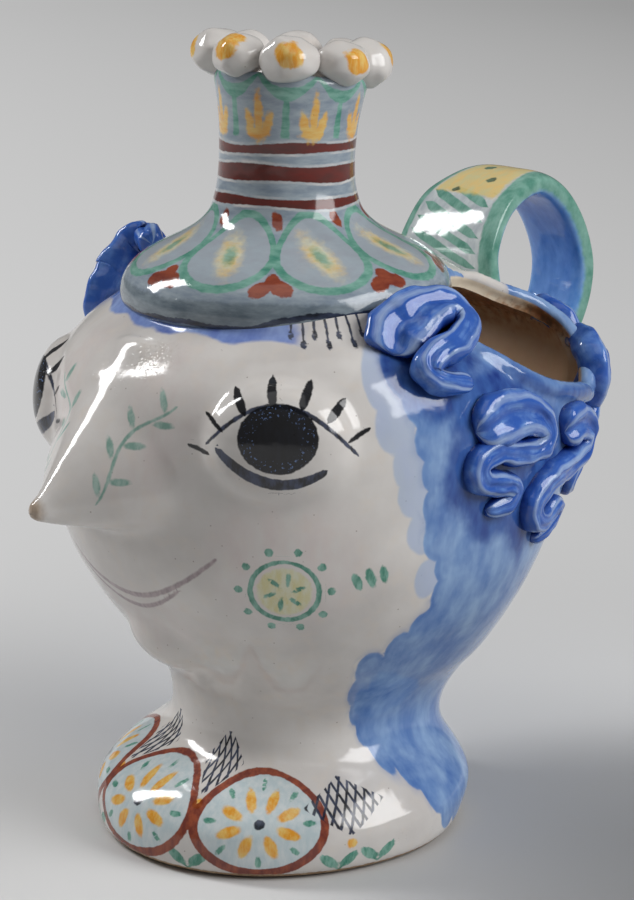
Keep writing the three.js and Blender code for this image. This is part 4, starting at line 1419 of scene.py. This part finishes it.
def glazeHat():
    # The same glazed earthenware under a streaky grey-blue wash, painted over in green, ochre
    # and an iron red that burns nearly black where it is thick.
    surface = newMaterial("paintedGreyGlaze")
    _, tree, _, coordinates = surface
    brush = brushwork(tree, coordinates, (0.4, 0.4, 1.3), 2.6, 4.5, (0.32, 0.68))
    petal, centre, band = chartField(tree, "soft")
    across, half, stem = chartField(tree, "green")
    stripes, blots, outside = chartField(tree, "rust")
    brim, brimHalf, flame = chartField(tree, "ink")
    finishIn(surface, painted(
        tree, tinGlaze(tree, coordinates),
        (outside, "hat", brush, 1, 0, 0.9),
        (petal, "hatPale", brush, 0.8, 1.5, 0.22),
        (centre, "heart", brush, 3.2, 5, 0.85),
        (centre, "green", brush, 1.6, 3, 0.8, 2.6),
        (band, "brim", brush, 1.2, 2.6, 0.9),
        (lineField(tree, across, half), "green", brush, 0.4, 1.2, 0.96),
        (stem, "green", brush, 0.4, 1.2, 0.96),
        (blots, "rust", brush, 0.4, 2, 0.96),
        (stripes, "hatPale", brush, 0.4, 0.6, 0.85, -1.1),  # a bare margin along each stripe
        (stripes, "stripe", brush, 0.3, 0.7, 0.96),
        (flame, "yellow", brush, 0.6, 2.2, 0.9),
        (lineField(tree, brim, brimHalf), "ink", brush, 0.3, 1.6, 0.96)), hatClay)


def glazeHandle():
    # White glaze with broad green strokes, and the blue of the hair carried up its inner face
    surface = newMaterial("paintedHandleGlaze")
    _, tree, _, coordinates = surface
    brush = brushwork(tree, coordinates, (1, 0.5, 0.5), 3.5, 4.5, (0.3, 0.7))
    gold, dots, innerFace = chartField(tree, "soft")
    slanted, half, edge = chartField(tree, "green")
    away = addNode(tree, "Math", [slanted, handlePaint["stripeStep"] / 2], operation="PINGPONG")
    stroke = addNode(tree, "Math", [half, away], operation="SUBTRACT")
    outerFace = addNode(tree, "Math", [innerFace, -1], operation="MULTIPLY")
    finishIn(surface, painted(
        tree, tinGlaze(tree, coordinates),
        (outerFace, "outerFace", brush, 1, 0, 0.8),
        (stroke, "green", brush, 0.5, 0.9, 0.92),
        (gold, "gold", brush, 1.6, 4, 0.85),
        (dots, "dot", brush, 0.5, 1, 0.85),
        (edge, "green", brush, 0.7, 1.8, 0.94),
        (innerFace, "innerFace", brush, 1.2, 1.6, 0.95),
        (innerFace, "innerDeep", brush, 1.6, 2, 0.4, 2.6)), handleClay)


def glazeBeads():
    # Bare white glaze with one brushed dab of ochre on each ball
    surface = newMaterial("dabbedTinGlaze")
    _, tree, _, coordinates = surface
    brush = brushwork(tree, coordinates, (1.5, 1.5, 0.4))
    dab = chartField(tree, "soft")[0], "yellow", brush, 0.6, 2.4, 0.95
    finishIn(surface, painted(tree, tinGlaze(tree, coordinates), dab), *beadPieces)


def glazeCoils():
    # Cobalt glaze over white clay coils: it runs off the crests, where it shows pale. In the hollows
    # between them it is painted dark by occlusion: painted shade, and glaze that pooled there.
    surface = newMaterial("cobaltGlaze")
    _, tree, _, coordinates = surface
    stored = addNode(tree, "Attribute", attribute_name="coil").outputs["Vector"]
    rim = chartField(tree, "coil")[2]
    stretched = addNode(tree, "Mapping", {"Vector": stored, "Scale": (0.06, 0.35, 0.4)})
    streaks = addNode(tree, "TexNoise",
                      {"Vector": stretched, "Scale": 1, "Detail": 4, "Roughness": 0.6})
    streak = addNode(tree, "MapRange", [streaks, 0.42, 0.6])
    clouded = patchy(tree, coordinates, 7, 3, (0.38, 0.66))
    thin = addNode(tree, "Math", [streak, clouded], operation="MULTIPLY")
    # painted shade: the hollows darken where the clay round them hides them, also for glaze pooled
    # there
    hollow = addNode(tree, "AmbientOcclusion", {"Distance": 7 * mm}, samples=8)
    shadedAndPooled = addNode(tree, "MapRange", [hollow.outputs["AO"], 0.35, 0.95, 1, 0])
    thinned = addNode(tree, "Math", [streaks, 1.1, rim], operation="MULTIPLY_ADD")
    pale = addNode(tree, "MapRange", [thinned, 0.9, 1.45, 0, 0.8])
    crests = addNode(tree, "Math",
                     [patchy(tree, coordinates, 7, 3, (0, 1)), rim], operation="MULTIPLY")
    bare = addNode(tree, "MapRange", [crests, 0.5, 0.62, 0, 0.6])
    finishIn(surface, toned(tree, "coil", (thin, "coilThin"), (shadedAndPooled, "coilDark"),
                            (pale, "coilPale"), (bare, "coilBare")), *curlPieces.values())


for glazeOne in (glazeHead, glazeHat, glazeHandle, glazeBeads, glazeCoils):
    glazeOne()
print("glazes made")


# Camera, lamps and the studio

studio = {
    "focal": 101.2,  # mm, on a 36 mm sensor
    "azimuth": math.radians(50),
    "pitch": math.radians(15),
    "distance": 1.097,
    "height": 0.465,
    "shift": 0.0135,
    "lampsAim": (0, 0, 0.17),
    # power, size, degrees from the face, degrees up, and distance
    "lamps": {"softboxLeft": (9, (0.22, 0.6), -60, 36, 1.25),
              "softboxRight": (14, (0.8, 0.8), 116, 30, 1.4),
              "topFill": (3.8, (1.2, 1.2), 50, 72, 1.7)},
    "world": (0.12, 0.41),  # its light on the planter, and as the camera sees it past the paper
    "floor": "#d7d7d7",
    "floorDim": "#9c9c9c",  # to the right, where the sweep lies in the shade
    "dimFrom": (-0.06, 0.2),
    "far": (0.2, 0.5),  # metres from the planter over which the far paper takes over
    "farAt": (1, 4.2),
    "farLight": (0.57, 0.41),  # how bright the far paper is at those two distances
    "slope": 0.13,  # brighter by this a metre to the left, and dimmer to the right
}
cameraBack = around(studio["azimuth"], 1, 0)
cameraRight = Vector((-cameraBack.y, cameraBack.x, 0))


def makeCamera():
    place = cameraBack * studio["distance"] + cameraRight * studio["shift"]
    place.z = studio["height"]
    turn = (math.pi / 2 - studio["pitch"], 0, studio["azimuth"])
    bpy.ops.object.camera_add(location=place, rotation=turn)
    camera = bpy.context.object
    camera.data.lens = studio["focal"]
    camera.data.sensor_width = 36
    bpy.context.scene.camera = camera


def areaLamp(name, power, size, azimuth, elevation, distance):
    up = math.radians(elevation)
    way = around(math.radians(azimuth), math.cos(up), math.sin(up))
    bpy.ops.object.light_add(type="AREA", location=Vector(studio["lampsAim"]) + way * distance)
    lamp = bpy.context.object
    lamp.name = name
    lamp.rotation_euler = way.to_track_quat("Z", "Y").to_euler()
    lamp.data.shape = "RECTANGLE"
    lamp.data.size, lamp.data.size_y = size
    lamp.data.energy = power


def makeFloor():
    # Matt paper. Near the planter it takes the lamps' light and the shadow. Far off, where the
    # lamps hardly reach, what the camera and the glaze see of it is lit evenly, as a long sweep is.
    deselectAll()
    bpy.ops.mesh.primitive_plane_add(size=16, location=(0, 0, 0))
    floor = bpy.context.object
    floor.name = "floor"
    material, tree, shader, coordinates = newMaterial("paperSweep")
    towards, rightwards = (
        addNode(tree, "VectorMath", [coordinates, way], operation="DOT_PRODUCT")
        for way in (cameraBack, cameraRight))
    away = addNode(tree, "VectorMath", [coordinates], operation="LENGTH")
    dimmed = addNode(tree, "MapRange", [away, *studio["farAt"], *studio["farLight"]])
    leaning = addNode(tree, "MapRange", [rightwards, -1, 1, studio["slope"], -studio["slope"]])
    sloped = addNode(tree, "Math", [dimmed, leaning], operation="ADD")
    far = addNode(tree, "Emission", {"Color": (1, 1, 1, 1), "Strength": sloped})
    beyond = addNode(tree, "MapRange", [away, *studio["far"]], interpolation_type="SMOOTHSTEP")
    rays = addNode(tree, "LightPath")
    seen = rays.outputs["Is Camera Ray"]
    for kind in ("Is Glossy Ray", "Is Transmission Ray"):
        seen = addNode(tree, "Math", [seen, rays.outputs[kind]], operation="MAXIMUM")
    share = addNode(tree, "Math", [beyond, seen], operation="MULTIPLY")
    paper = addNode(tree, "MixShader", [share, shader, far])
    linked(tree, paper, tree.nodes["Material Output"].inputs["Surface"])
    low, high = studio["dimFrom"]
    toRight, nearby = (
        addNode(tree, "MapRange", [way, start, end], interpolation_type="SMOOTHSTEP")
        for way, start, end in ((rightwards, low, high), (towards, -high, -low)))
    shaded = addNode(tree, "Math", [toRight, nearby], operation="MULTIPLY")
    tone = addNode(tree, "Mix",
                   {0: shaded, 6: linear(studio["floor"]), 7: linear(studio["floorDim"])},
                   data_type="RGBA")
    linked(tree, tone, shader.inputs["Base Color"])
    shader.inputs["Roughness"].default_value = 0.9
    shader.inputs["Specular IOR Level"].default_value = 0.1
    floor.data.materials.append(material)


def makeWorld():
    world = bpy.data.worlds.new("studio")
    bpy.context.scene.world = world
    world.use_nodes = True
    tree = world.node_tree
    lit, shown = studio["world"]
    camera = addNode(tree, "LightPath").outputs["Is Camera Ray"]
    strength = addNode(tree, "Math", [camera, shown - lit, lit], operation="MULTIPLY_ADD")
    background = tree.nodes["Background"]
    background.inputs["Color"].default_value = (1, 1, 1, 1)
    linked(tree, strength, background.inputs["Strength"])


makeCamera()
for name, lamp in studio["lamps"].items():
    areaLamp(name, *lamp)
makeWorld()
makeFloor()
print("studio lit")

for piece in (head, hatClay, handleClay, *beadPieces, *curlPieces.values()):
    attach(piece, "root")
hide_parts("base_slab", "shoulder_foot", "neck", "head_shell", "nose", "chin",
            "left_eyeball", "right_eyeball", "left_mouth_lip", "right_mouth_lip")
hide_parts("hat_dome", "bottle_neck")
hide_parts("handle_strap")
for i, ball in enumerate(beadPieces):
    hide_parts(f"rim_bead_{i + 1}")
for (side, name), piece in curlPieces.items():
    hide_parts(f"{side}_{name}_curl")

bpy.context.scene.view_settings.view_transform = "Standard"
